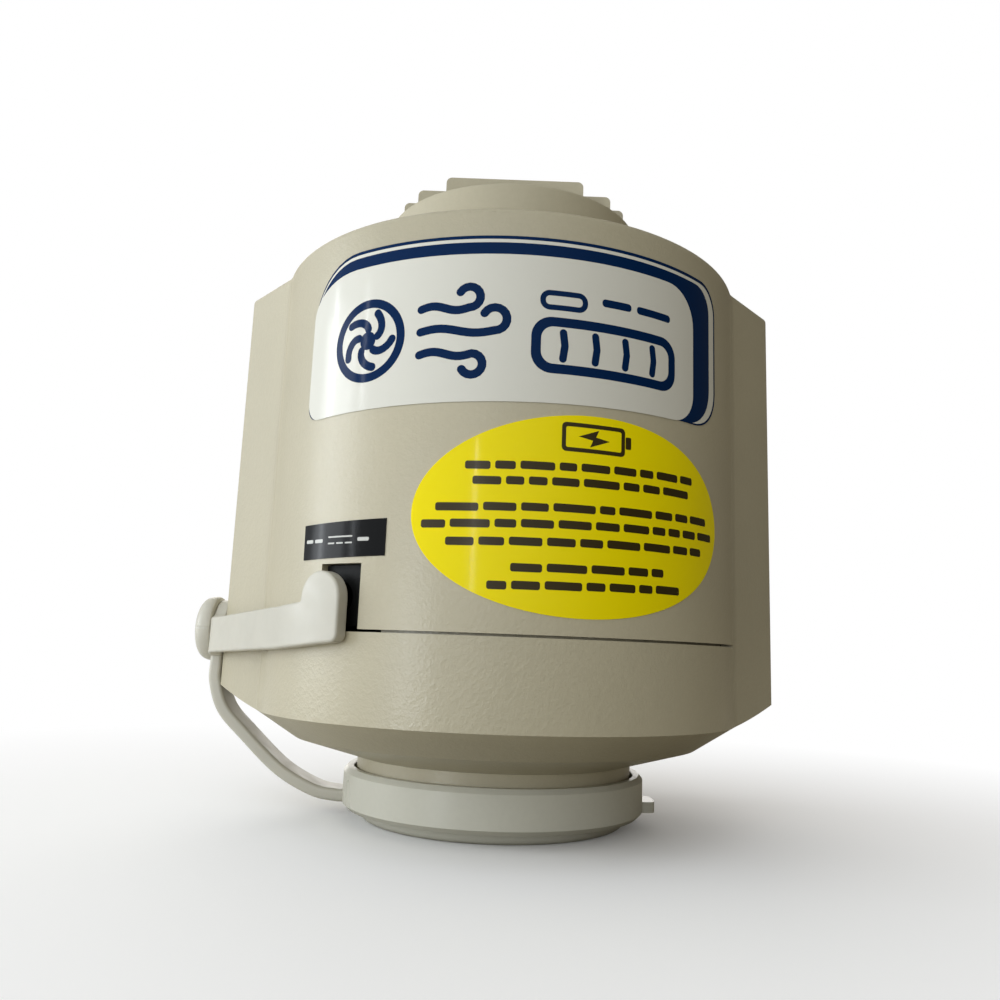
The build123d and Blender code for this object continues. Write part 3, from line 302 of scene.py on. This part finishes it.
INK_ON_YELLOW = printed("ink_on_yellow", srgb(52, 42, 12), 0.2, 0.25)


# ------------------------------------------------------------------ mesh helpers
def new_piece(name, bm, material, body="root", smooth=True):
    """Finishes a bmesh as an object with a material, riding on a body."""
    bmesh.ops.recalc_face_normals(bm, faces=bm.faces)
    mesh = bpy.data.meshes.new(name)
    bm.to_mesh(mesh)
    bm.free()
    mesh.materials.append(material)
    piece = bpy.data.objects.new(name, mesh)
    scene.collection.objects.link(piece)
    if smooth:
        mesh.shade_smooth()
        normals = piece.modifiers.new("flat_faces", "WEIGHTED_NORMAL")
        normals.weight = 90
    if body:
        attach(piece, body)
    return piece


def on_barrel(s, depth, z):
    """Point on the barrel, s mm round from the front centre, depth mm proud of it, z mm up."""
    angle = s / BARREL_R
    radius = (BARREL_R + depth) * MM
    return Vector((radius * sin(angle), -radius * cos(angle), z * MM))


def fill(bm, loops):
    """Fills an outline and its holes, given as (x, z) points, in the XZ plane."""
    verts = [bm.verts.new((x, 0, z)) for loop in loops for x, z in loop]
    for triple in tessellate_polygon([[Vector((x, z, 0)) for x, z in loop] for loop in loops]):
        bm.faces.new([verts[i] for i in triple])


def cut_columns(bm, step):
    """Cuts a flat shape into upright columns so that it can bend."""
    low = min(v.co.x for v in bm.verts)
    high = max(v.co.x for v in bm.verts)
    count = int((high - low) / step)
    for column in range(1, count + 1):
        geometry = bm.verts[:] + bm.edges[:] + bm.faces[:]
        bmesh.ops.bisect_plane(bm, geom=geometry, plane_co=(low + column * step, 0, 0), plane_no=(1, 0, 0))


def print_film(name, shapes, low, high, material, replaces=()):
    """A printed film between two depths on the barrel. Each shape is an outline with its holes."""
    bm = bmesh.new()
    for loops in shapes:
        fill(bm, loops)
    cut_columns(bm, 1.2)
    back = {}
    faces = list(bm.faces)
    for vert in list(bm.verts):
        s, z = vert.co.x, vert.co.z
        back[vert] = bm.verts.new(on_barrel(s, low, z))
        vert.co = on_barrel(s, high, z)
    rim = [edge for edge in bm.edges if len(edge.link_faces) == 1]
    for face in faces:
        bm.faces.new([back[v] for v in reversed(face.verts)])
    for edge in rim:
        a, b = edge.verts
        bm.faces.new((a, b, back[b], back[a]))
    piece = new_piece(name, bm, material, "root", smooth=False)
    piece.data.shade_smooth()
    piece.data.set_sharp_from_angle(angle=radians(30))
    if replaces:
        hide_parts(*replaces)
    return piece


def corner(centre, radii, start, end, steps=10):
    """Points of an elliptical corner between two angles in degrees."""
    rx, rz = radii
    turns = [radians(start + (end - start) * i / steps) for i in range(steps + 1)]
    return [(centre[0] + rx * cos(t), centre[1] + rz * sin(t)) for t in turns]


def rounded(left, right, bottom, top, radii, slope=0.0):
    """Rectangle with corner radii (top right, top left, bottom left, bottom right), or one for all.

    A radius may be a pair (across, up). slope tilts the bottom edge.
    """
    if isinstance(radii, (int, float)):
        radii = (radii,) * 4
    tr, tl, bl, br = [(r, r) if isinstance(r, (int, float)) else r for r in radii]
    points = corner((right - tr[0], top - tr[1]), tr, 0, 90)
    points += corner((left + tl[0], top - tl[1]), tl, 90, 180)
    points += corner((left + bl[0], bottom + bl[1]), bl, 180, 270)
    points += corner((right - br[0], bottom + br[1]), br, 270, 360)
    middle = (bottom + top) / 2
    return [(x, z + (slope * x * (middle - z) / (middle - bottom) if z < middle else 0)) for x, z in points]


def ring_points(centre, rx, rz, steps=48, tilt=0.0):
    """Points of an ellipse, tilted by degrees."""
    t = radians(tilt)
    circle = [(rx * cos(tau * i / steps), rz * sin(tau * i / steps)) for i in range(steps)]
    return [(centre[0] + x * cos(t) - z * sin(t), centre[1] + x * sin(t) + z * cos(t)) for x, z in circle]


def stroke(points, width):
    """A line of round-ended width along points, as one outline."""
    half = width / 2
    left, right = [], []
    for i, (x, z) in enumerate(points):
        before = points[max(i - 1, 0)]
        after = points[min(i + 1, len(points) - 1)]
        dx, dz = after[0] - before[0], after[1] - before[1]
        size = hypot(dx, dz)
        nx, nz = -dz / size * half, dx / size * half
        left.append((x + nx, z + nz))
        right.append((x - nx, z - nz))
    heading = degrees(atan2(points[-1][1] - points[-2][1], points[-1][0] - points[-2][0]))
    end = corner(points[-1], (half, half), heading + 90, heading - 90, 8)[1:-1]
    heading = degrees(atan2(points[0][1] - points[1][1], points[0][0] - points[1][0]))
    start = corner(points[0], (half, half), heading + 90, heading - 90, 8)[1:-1]
    return [left + end + right[::-1] + start]


# ------------------------------------------------------------------ printed labels
def fan_symbol(centre):
    """Fan wheel: a ring, its hub and curved blades."""
    shapes = [[ring_points(centre, 8.6, 8.6, 64), ring_points(centre, 6.8, 6.8, 64)],
              [ring_points(centre, 1.9, 1.9, 32)]]
    for blade in range(5):
        start = tau * blade / 5 + 0.3
        sweep = [(2.4 + 3.4 * k / 8, start + 0.9 * (k / 8) ** 1.3) for k in range(9)]
        shapes.append(stroke([(centre[0] + r * cos(a), centre[1] + r * sin(a)) for r, a in sweep], 1.7))
    return shapes


def air_symbol(left, middle):
    """Three streams of air, the upper two curling up and the last one down."""
    shapes = []
    for row, reach, curl_r in ((4.9, 9.6, 2.1), (0.3, 14.6, 2.3), (-4.3, 10.4, -2.1)):
        line = [(left + reach * k / 14, middle + row + 0.5 * sin(tau * k / 14)) for k in range(15)]
        x, z = line[-1]
        turns = [0.35 * k for k in range(1, 13)]
        curl = [(x + abs(curl_r) * sin(a), z + curl_r * (1 - cos(a))) for a in turns]
        shapes.append(stroke(line + curl, 1.7))
    return shapes


def bed_symbol():
    """Tufted air bed with a pillow and two bars for its cover."""
    shapes = [[rounded(4.0, 36.0, 90.4, 101.6, 4.0), rounded(5.9, 34.1, 92.3, 99.7, 2.4)]]
    for tuft in range(4):
        x = 10.2 + 6.5 * tuft
        shapes.append(stroke([(x, 93.4), (x + 0.35, 96.0), (x, 98.6)], 1.5))
    shapes.append([rounded(5.5, 15.0, 103.0, 107.0, 1.9), rounded(6.6, 13.9, 104.1, 105.9, 0.8)])
    for left, right in ((18.0, 24.5), (25.8, 34.5)):
        shapes.append([rounded(left, right, 105.0, 106.6, 0.7)])
    return shapes


def front_label():
    """White panel in a navy band with a fine outline, printed with a fan, air streams and an air bed."""
    slope = 0.02
    # name, left, right, bottom, top, corner radii, depths, print
    layers = (
        ("edge", -46.6, 51.5, 84.6, 117.6, (6.5, 13.5, 3.0, 9.0), 0.0, 0.10, NAVY_PRINT),
        ("gap", -46.5, 50.8, 84.9, 116.9, (6.0, 13.2, 3.0, 8.6), 0.10, 0.115, WHITE_PRINT),
        ("band", -46.4, 48.5, 84.6, 116.2, (5.5, 12.8, 3.0, 9.0), 0.115, 0.13, NAVY_PRINT),
        ("panel", -46.6, 42.0, 84.4, 113.8, (8.0, (13.0, 8.0), 4.0, 6.5), 0.13, 0.145, WHITE_PRINT),
    )
    for name, left, right, bottom, top, radii, low, high, ink in layers:
        outline = rounded(left, right, bottom, top, radii, slope)
        hidden = ["front_label"] if name == "edge" else []
        print_film(f"front_label_{name}", [[outline]], low, high, ink, hidden)
    middle = 98.0
    shapes = fan_symbol((-29.5, middle)) + air_symbol(-17.6, middle) + bed_symbol()
    print_film("front_label_symbols", shapes, 0.145, 0.15, NAVY_PRINT)


WORD_GAP = 0.85
SHORTEST_REST = 2.4                  # a row's last word takes up any shorter rest


def text_rows(rows, bar_h, seed, slope, mid_x):
    """Greeked words: short rounded bars of varied length along each row (left, right, z)."""
    draw = random.Random(seed)
    shapes = []
    for left, right, z in rows:
        x = left
        while x < right - 1.0:
            word = min(draw.uniform(3.0, 8.4), right - x)
            if right - x - word < SHORTEST_REST:
                word = right - x
            lift = z + slope * (x + word / 2 - mid_x)
            r = bar_h * 0.3
            shapes.append([rounded(x, x + word, lift - bar_h / 2, lift + bar_h / 2, r)])
            x += word + WORD_GAP
    return shapes


def oval_label():
    """Glossy yellow oval with greeked notes and a battery-charge symbol."""
    centre = (16.8, 63.7)
    tilt = 1.6
    oval = ring_points(centre, 34.3, 19.1, 128, tilt)
    print_film("oval_label_film", [[oval]], 0.0, 0.12, YELLOW_PRINT, ["caution_label"])
    rows = [(-7.5, 41.5, 72.7), (-6.0, 40.2, 69.8), (-12.8, 46.6, 64.9), (-15.4, 48.8, 61.8),
            (-10.6, 44.6, 58.5), (1.5, 33.0, 53.7), (-2.7, 37.4, 50.5)]
    shapes = text_rows(rows, bar_h=1.55, seed=7, slope=0.025, mid_x=centre[0])
    # battery outline with a charge arrow
    left, right, low, high = 10.4, 23.4, 75.6, 81.2
    wall = 0.8
    inside = rounded(left + wall, right - wall, low + wall, high - wall, 0.4)
    shapes.append([rounded(left, right, low, high, 0.9), inside])
    shapes.append([rounded(right + 0.15, right + 1.4, 77.2, 79.6, 0.3)])
    x, z = (left + right) / 2, (low + high) / 2
    half_arrow = [(-3.2, 0.2), (0.9, 1.7), (0.3, 0.35)]
    arrow = half_arrow + [(-u, -v) for u, v in half_arrow]
    shapes.append([[(x + u, z + v) for u, v in arrow]])
    print_film("oval_label_notes", shapes, 0.12, 0.14, INK_ON_YELLOW)


def socket_label():
    """Small black plate with the direct-current symbol."""
    plate = [[(-44.2, 54.7), (-22.5, 55.1), (-22.5, 62.2), (-44.4, 61.7)]]
    print_film("socket_label_plate", [plate], 0.0, 0.12, BLACK_PRINT, ["rating_label"])
    left, pitch = -36.6, 2.3
    shapes = [[rounded(left, -30.2, 58.85, 59.15, 0.1)]]
    for dash in range(3):
        shapes.append([rounded(left + pitch * dash, left + 1.8 + pitch * dash, 57.6, 57.9, 0.1)])
    for start, end in ((-43.4, -41.2), (-40.6, -38.2), (-28.9, -26.2)):
        shapes.append([rounded(start, end, 58.0, 58.7, 0.25)])
    print_film("socket_label_symbol", shapes, 0.12, 0.14, GREY_PRINT)


# ------------------------------------------------------------------ moulded straps
def strap_route():
    """Middle line of the strap in plan, mm: round the barrel, round the wing's corner and along the wing.

    Returns its points and the number of the point at the corner.
    """
    arc_steps, run_steps, bend_steps, limb_steps = 60, 8, 8, 20
    start_az = radians(STRAP_START_AZ)
    tangent_az = atan2(HINGE[0], -HINGE[1]) + acos(STRAP_R / hypot(*HINGE))
    points = []
    for i in range(arc_steps + 1):
        az = start_az + (tangent_az - start_az) * i / arc_steps
        points.append(Vector((STRAP_R * sin(az), -STRAP_R * cos(az))))
    last = points[-1].copy()
    incoming = (Vector(HINGE) - last).normalized()
    outgoing = Vector((0, 1))
    turn = acos(incoming.dot(outgoing))
    bend_r = 1.75
    bend_start = Vector(HINGE) - incoming * bend_r * tan(turn / 2)
    run = (bend_start - last).length
    points += [last + incoming * run * i / run_steps for i in range(1, run_steps)]
    corner_point = len(points) + 1
    side = Vector((incoming.y, -incoming.x))
    centre = bend_start + side * bend_r * (1 if side.dot(outgoing) > 0 else -1)
    spoke = bend_start - centre
    sign = -1 if incoming.x * outgoing.y - incoming.y * outgoing.x < 0 else 1
    for i in range(bend_steps + 1):
        a = sign * turn * i / bend_steps
        turned = Vector((spoke.x * cos(a) - spoke.y * sin(a), spoke.x * sin(a) + spoke.y * cos(a)))
        points.append(centre + turned)
    end = points[-1].copy()
    limb = 16.0
    points += [end + outgoing * limb * i / limb_steps for i in range(1, limb_steps + 1)]
    return points, corner_point


class Route:
    """Maps a distance along the strap and a depth to a point in plan."""

    def __init__(self, points):
        self.points = points
        self.along = [0.0]
        for a, b in zip(points, points[1:]):
            self.along.append(self.along[-1] + (b - a).length)

    def at(self, distance, depth):
        i = 0
        while i < len(self.along) - 2 and self.along[i + 1] < distance:
            i += 1
        a, b = self.points[i], self.points[i + 1]
        share = (distance - self.along[i]) / (self.along[i + 1] - self.along[i])
        before = self.points[max(i - 1, 0)]
        after = self.points[min(i + 2, len(self.points) - 1)]
        heading = ((b - before).normalized().lerp((after - a).normalized(), share)).normalized()
        out = Vector((heading.y, -heading.x))
        if out.dot(a) < 0:
            out = -out
        return a.lerp(b, share) + out * depth


def soft_plate(outline, thickness, radius, step):
    """A flat plate in XZ with rounded rims, cut into columns, as a bmesh (y is depth, 0 its middle)."""
    bm = bmesh.new()
    half = thickness / 2
    rim_steps = 5
    count = len(outline)
    inwards = 1 if is_left_turning(outline) else -1
    layers = []
    for side in (1, -1):
        layer = []
        for k in range(rim_steps + 1):
            a = radians(90 * k / rim_steps)
            depth = side * (half - radius * (1 - cos(a)))
            ring = offset_loop(outline, inwards * radius * (1 - sin(a)))
            layer.append([bm.verts.new((x, depth, z)) for x, z in ring])
        layers.append(layer)
    for layer in layers:
        for upper, lower in zip(layer, layer[1:]):
            for i in range(count):
                j = (i + 1) % count
                bm.faces.new((upper[i], upper[j], lower[j], lower[i]))
    front_rim, back_rim = layers[0][-1], layers[1][-1]
    for i in range(count):
        j = (i + 1) % count
        bm.faces.new((front_rim[i], front_rim[j], back_rim[j], back_rim[i]))
    for layer in layers:
        flat = layer[0]
        for triple in tessellate_polygon([[Vector((v.co.x, v.co.z, 0)) for v in flat]]):
            bm.faces.new([flat[i] for i in triple])
    cut_columns(bm, step)
    return bm


def is_left_turning(loop):
    area = sum(a[0] * b[1] - b[0] * a[1] for a, b in zip(loop, loop[1:] + loop[:1]))
    return area > 0


def offset_loop(loop, inward):
    """The closed outline moved inwards (for a left-turning loop) by a distance."""
    moved = []
    count = len(loop)
    for i in range(count):
        before, here, after = loop[i - 1], loop[i], loop[(i + 1) % count]
        ax, az = here[0] - before[0], here[1] - before[1]
        bx, bz = after[0] - here[0], after[1] - here[1]
        la, lb = hypot(ax, az), hypot(bx, bz)
        nx, nz = -az / la - bz / lb, ax / la + bx / lb
        size = hypot(nx, nz)
        cosine = max(0.3, size / 2)
        moved.append((here[0] + nx / size * inward / cosine, here[1] + nz / size * inward / cosine))
    return moved


def socket_strap():
    """Flap, band and anchor end of the socket cover as one soft moulding, bending at the wing's corner."""
    points, corner_point = strap_route()
    route = Route(points)
    flap = STRAP_R * radians(STRAP_START_AZ - FLAP_AZ)
    corner_at = route.along[corner_point]
    anchor_at = corner_at + ANCHOR_Y - HINGE[1] + 0.6
    half = 5.1                       # half the flap's width
    flap_low, flap_high = 38.7, 52.2
    # x runs along the strap, away from the flap's free side
    outline = corner((flap - half + 1.6, flap_low + 1.6), (1.6, 1.6), 180, 270, 6)
    outline += [(flap + half, 37.8), (flap + half + 8, 37.1), (corner_at - 6, 35.75), (corner_at, 35.5)]
    outline += [(anchor_at - 8.4, 35.2), (anchor_at - 6.0, 34.4)]
    outline += [(anchor_at - 4.5, 33.6), (anchor_at + 2.4, 33.6)]
    outline += corner((anchor_at, ANCHOR_Z), (6.9, 6.9), -52, 150, 28)
    outline += [(anchor_at - 7.4, 43.75), (corner_at, 43.7), (corner_at - 6, 43.85)]
    outline += [(flap + half + 8, 45.5), (flap + half + 3.5, 46.0)]
    outline += corner((flap + half + 0.6, 46.9), (0.6, 0.6), 270, 180, 4)
    outline += corner((flap, flap_high - half), (half, half), 0, 180, 20)
    bm = soft_plate(outline, STRAP_T, 0.55, 0.8)
    for vert in bm.verts:
        spot = route.at(vert.co.x, vert.co.y)
        vert.co = Vector((spot.x * MM, spot.y * MM, vert.co.z * MM))
    piece = new_piece("socket_strap", bm, look["strap"], None)
    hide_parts("jack_cover", "strap_tail")
    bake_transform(piece)


def flap_plug():
    """Tapered prong behind the flap that seals the charging jack."""
    profile = [(0.0, 0.9), (2.1, 0.9), (2.1, -0.4), (2.0, -3.2), (1.7, -3.6), (0.0, -3.6)]
    az = radians(PLUG_AZ)
    outward = Vector((sin(az), -cos(az), 0))
    spot = outward * (BARREL_R - 0.4)
    turn = outward.to_track_quat("Z", "Y").to_matrix().to_4x4()
    placement = Matrix.Translation((spot.x, spot.y, PLUG_Z)) @ turn
    revolve("cover_plug", profile, placement, look["strap"], "socket_cover", 48)


def revolve(name, profile, placement, material, body, steps=64, dent=None):
    """A closed profile of (radius, height) turned round local Z and placed by a matrix, mm."""
    bm = bmesh.new()
    rings = []
    for radius, height in profile:
        if radius < 1e-6:
            rings.append([bm.verts.new((0, 0, height))])
            continue
        ring = []
        for i in range(steps):
            a = tau * i / steps
            r = radius - (dent(a, radius, height) if dent else 0.0)
            ring.append(bm.verts.new((r * cos(a), r * sin(a), height)))
        rings.append(ring)
    for low, high in zip(rings, rings[1:]):
        for i in range(steps):
            j = (i + 1) % steps
            if len(low) == 1:
                bm.faces.new((low[0], high[i], high[j]))
            elif len(high) == 1:
                bm.faces.new((low[i], low[j], high[0]))
            else:
                bm.faces.new((low[i], low[j], high[j], high[i]))
    bmesh.ops.transform(bm, matrix=Matrix.Scale(MM, 4) @ placement, verts=bm.verts)
    return new_piece(name, bm, material, body)


def anchor_button():
    """Domed vinyl button that pins both straps to the wing, with its mould line."""
    head_r, shoulder_top, stem_r, stem_end = 7.65, 4.4, 2.4, -7.3
    profile = [(0.0, 4.65), (2.6, 4.6)]
    for k in range(13):
        a = radians(90 * k / 12)
        profile.append((head_r - 3.0 * (1 - sin(a)), shoulder_top - 2.9 * (1 - cos(a))))
    profile += [(head_r, 0.6), (7.3, 0.0), (stem_r, 0.0), (stem_r, stem_end), (0.0, stem_end)]

    def mould_line(angle, radius, height):
        if radius < 3.0 or height < 0.1:
            return 0.0
        near = abs(cos(angle))
        return 0.16 if near < 0.02 else (-0.05 if near < 0.06 else 0.0)

    seat_x = -68.1                   # underside of the head, on the strap
    placement = Matrix.Translation((seat_x, ANCHOR_Y, ANCHOR_Z)) @ Matrix.Rotation(-pi / 2, 4, "Y")
    piece = revolve("anchor_button", profile, placement, look["strap"], "root", 192, mould_line)
    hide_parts("strap_anchor")


def cap_tether():
    """Flat vinyl strap that curves from the anchor down and in to the cap."""
    knots = [(-66.5, 38.0), (-66.55, 33.4), (-66.4, 28.8), (-64.0, 22.6), (-58.4, 16.9), (-49.9, 9.4),
             (-41.9, 5.2), (-36.6, 4.15), (-33.6, 4.1)]
    middle_y = 1.5
    line = []
    for i in range(len(knots) - 1):
        p0 = Vector(knots[max(i - 1, 0)])
        p1, p2 = Vector(knots[i]), Vector(knots[i + 1])
        p3 = Vector(knots[min(i + 2, len(knots) - 1)])
        slope, bow, twist = p2 - p0, 2 * p0 - 5 * p1 + 4 * p2 - p3, 3 * p1 - p0 - 3 * p2 + p3
        for k in range(8):
            t = k / 8
            line.append(0.5 * (2 * p1 + slope * t + bow * t ** 2 + twist * t ** 3))
    line.append(Vector(knots[-1]))
    half_w, half_t, r = 4.5, 1.4, 0.8
    section = []
    for across, thick, start in ((1, 1, 0), (-1, 1, 90), (-1, -1, 180), (1, -1, 270)):
        section += corner((across * (half_w - r), thick * (half_t - r)), (r, r), start, start + 90, 4)
    bm = bmesh.new()
    rings = []
    for i, spot in enumerate(line):
        before, after = line[max(i - 1, 0)], line[min(i + 1, len(line) - 1)]
        heading = (after - before).normalized()
        side = Vector((heading.y, -heading.x))
        ring = []
        for across, thick in section:
            p = spot + side * thick
            ring.append(bm.verts.new((p.x * MM, (middle_y + across) * MM, p.y * MM)))
        rings.append(ring)
    for low, high in zip(rings, rings[1:]):
        for k in range(len(section)):
            j = (k + 1) % len(section)
            bm.faces.new((low[k], low[j], high[j], high[k]))
    bm.faces.new(rings[0])
    bm.faces.new(rings[-1])
    piece = new_piece("cap_strap", bm, look["strap"], None)
    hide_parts("cap_tether")
    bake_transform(piece)


# ------------------------------------------------------------------ stage and light
def make_floor():
    """Pale sheet of paper under the pump that turns into the white backdrop away from it."""
    bm = bmesh.new()
    steps = 96
    radii = (0.15, 0.4, 1.0, 4.0, 30.0)
    centre = bm.verts.new((0, 0, 0))
    rings = [[bm.verts.new((r * cos(tau * i / steps), r * sin(tau * i / steps), 0)) for i in range(steps)]
             for r in radii]
    for i in range(steps):
        bm.faces.new((centre, rings[0][i], rings[0][(i + 1) % steps]))
    for low, high in zip(rings, rings[1:]):
        for i in range(steps):
            j = (i + 1) % steps
            bm.faces.new((low[i], low[j], high[j], high[i]))
    shader = Shader("floor_paper")
    cloud = shader.spread(shader.noise(6.0, 3.0), 0.3, 0.7)
    paper = shader.mix(cloud, srgb(250, 250, 250), srgb(254, 254, 254))
    seen = shader.node("ShaderNodeLightPath").outputs["Is Camera Ray"]
    across = shader.node("ShaderNodeSeparateXYZ", {0: shader.where}).outputs["X"]
    bounce = shader.mix(shader.spread(across, -0.16, 0.02), srgb(248, 248, 246), srgb(148, 140, 120))
    shader.set(base_color=shader.mix(seen, bounce, paper), roughness=0.85)
    shader.bump([(shader.noise(1500.0, 3.0), 0.1, 0.0001)])
    distance = shader.node("ShaderNodeVectorMath", {0: shader.where}, operation="LENGTH").outputs["Value"]
    white = shader.node("ShaderNodeEmission", {"Color": (1.0, 1.0, 1.0, 1.0), "Strength": 1.0}).outputs[0]
    share = shader.maths("MULTIPLY", shader.spread(distance, 0.02, 0.24), seen)
    both = shader.node("ShaderNodeMixShader", {0: share, 1: shader.bsdf.outputs[0], 2: white})
    shader.tree.links.new(both.outputs[0], shader.tree.nodes["Material Output"].inputs["Surface"])
    floor = new_piece("floor", bm, shader.material, None)


def area_light(name, place, size, power, target=(0, 0, 0.07), colour=(1, 1, 1)):
    data = bpy.data.lights.new(name, "AREA")
    data.shape = "RECTANGLE"
    data.size, data.size_y = size
    data.energy = power
    data.color = colour
    lamp = bpy.data.objects.new(name, data)
    scene.collection.objects.link(lamp)
    aim = Vector(target) - Vector(place)
    lamp.matrix_world = Matrix.Translation(place) @ aim.to_track_quat("-Z", "Y").to_matrix().to_4x4()


def make_lights():
    """Window light and narrow strips from the left, a rear fill, and a studio that darkens to the right."""
    daylight = (0.95, 1.0, 1.05)
    # name, place, size in metres, power in watts
    area_light("key_window", (-0.99, -0.08, 0.16), (0.35, 0.6), 2.5, colour=daylight)
    area_light("strip_left", (-1.0, 0.0, 0.10), (0.02, 0.8), 0.8, colour=daylight)
    area_light("strip_front_left", (-0.94, -0.34, 0.10), (0.018, 0.8), 0.7, colour=daylight)
    area_light("rear_fill", (-0.10, 1.25, 0.50), (1.1, 1.1), 9.0, colour=(1.0, 0.98, 0.95))
    area_light("strip_behind_camera", (-0.22, -1.0, 0.16), (0.012, 0.3), 0.3)
    area_light("front_left_lamp", (-0.62, -0.76, 0.03), (0.07, 0.07), 1.15, (0, 0, 0.03), daylight)
    world = bpy.data.worlds.new("studio")
    world.use_nodes = True
    scene.world = world
    tree = world.node_tree
    link = tree.links.new
    coords = tree.nodes.new("ShaderNodeTexCoord")
    toward = tree.nodes.new("ShaderNodeVectorMath")
    toward.operation = "DOT_PRODUCT"
    toward.inputs[1].default_value = Vector((-0.80, -0.58, 0.10)).normalized()
    link(coords.outputs["Generated"], toward.inputs[0])
    side = tree.nodes.new("ShaderNodeMapRange")
    side.interpolation_type = "SMOOTHSTEP"
    for index, value in enumerate((-0.50, 0.95, 0.12, 1.28)):
        side.inputs[index + 1].default_value = value
    link(toward.outputs["Value"], side.inputs[0])
    glow = tree.nodes["Background"]
    tint = tree.nodes.new("ShaderNodeMix")
    tint.data_type = "RGBA"
    tint.inputs[6].default_value = (1.0, 0.85, 0.60, 1.0)
    tint.inputs[7].default_value = (0.95, 1.0, 1.05, 1.0)
    link(side.outputs[0], tint.inputs[0])
    link(tint.outputs[2], glow.inputs["Color"])
    link(side.outputs[0], glow.inputs["Strength"])
    backdrop = tree.nodes.new("ShaderNodeBackground")
    backdrop.inputs["Color"].default_value = (1.0, 1.0, 1.0, 1.0)
    rays = tree.nodes.new("ShaderNodeLightPath")
    either = tree.nodes.new("ShaderNodeMixShader")
    link(rays.outputs["Is Camera Ray"], either.inputs[0])
    link(glow.outputs[0], either.inputs[1])
    link(backdrop.outputs[0], either.inputs[2])
    link(either.outputs[0], tree.nodes["World Output"].inputs["Surface"])


make_camera()
front_label()
oval_label()
socket_label()
socket_strap()
flap_plug()
anchor_button()
cap_tether()
make_floor()
make_lights()
scene.view_settings.view_transform = "Standard"
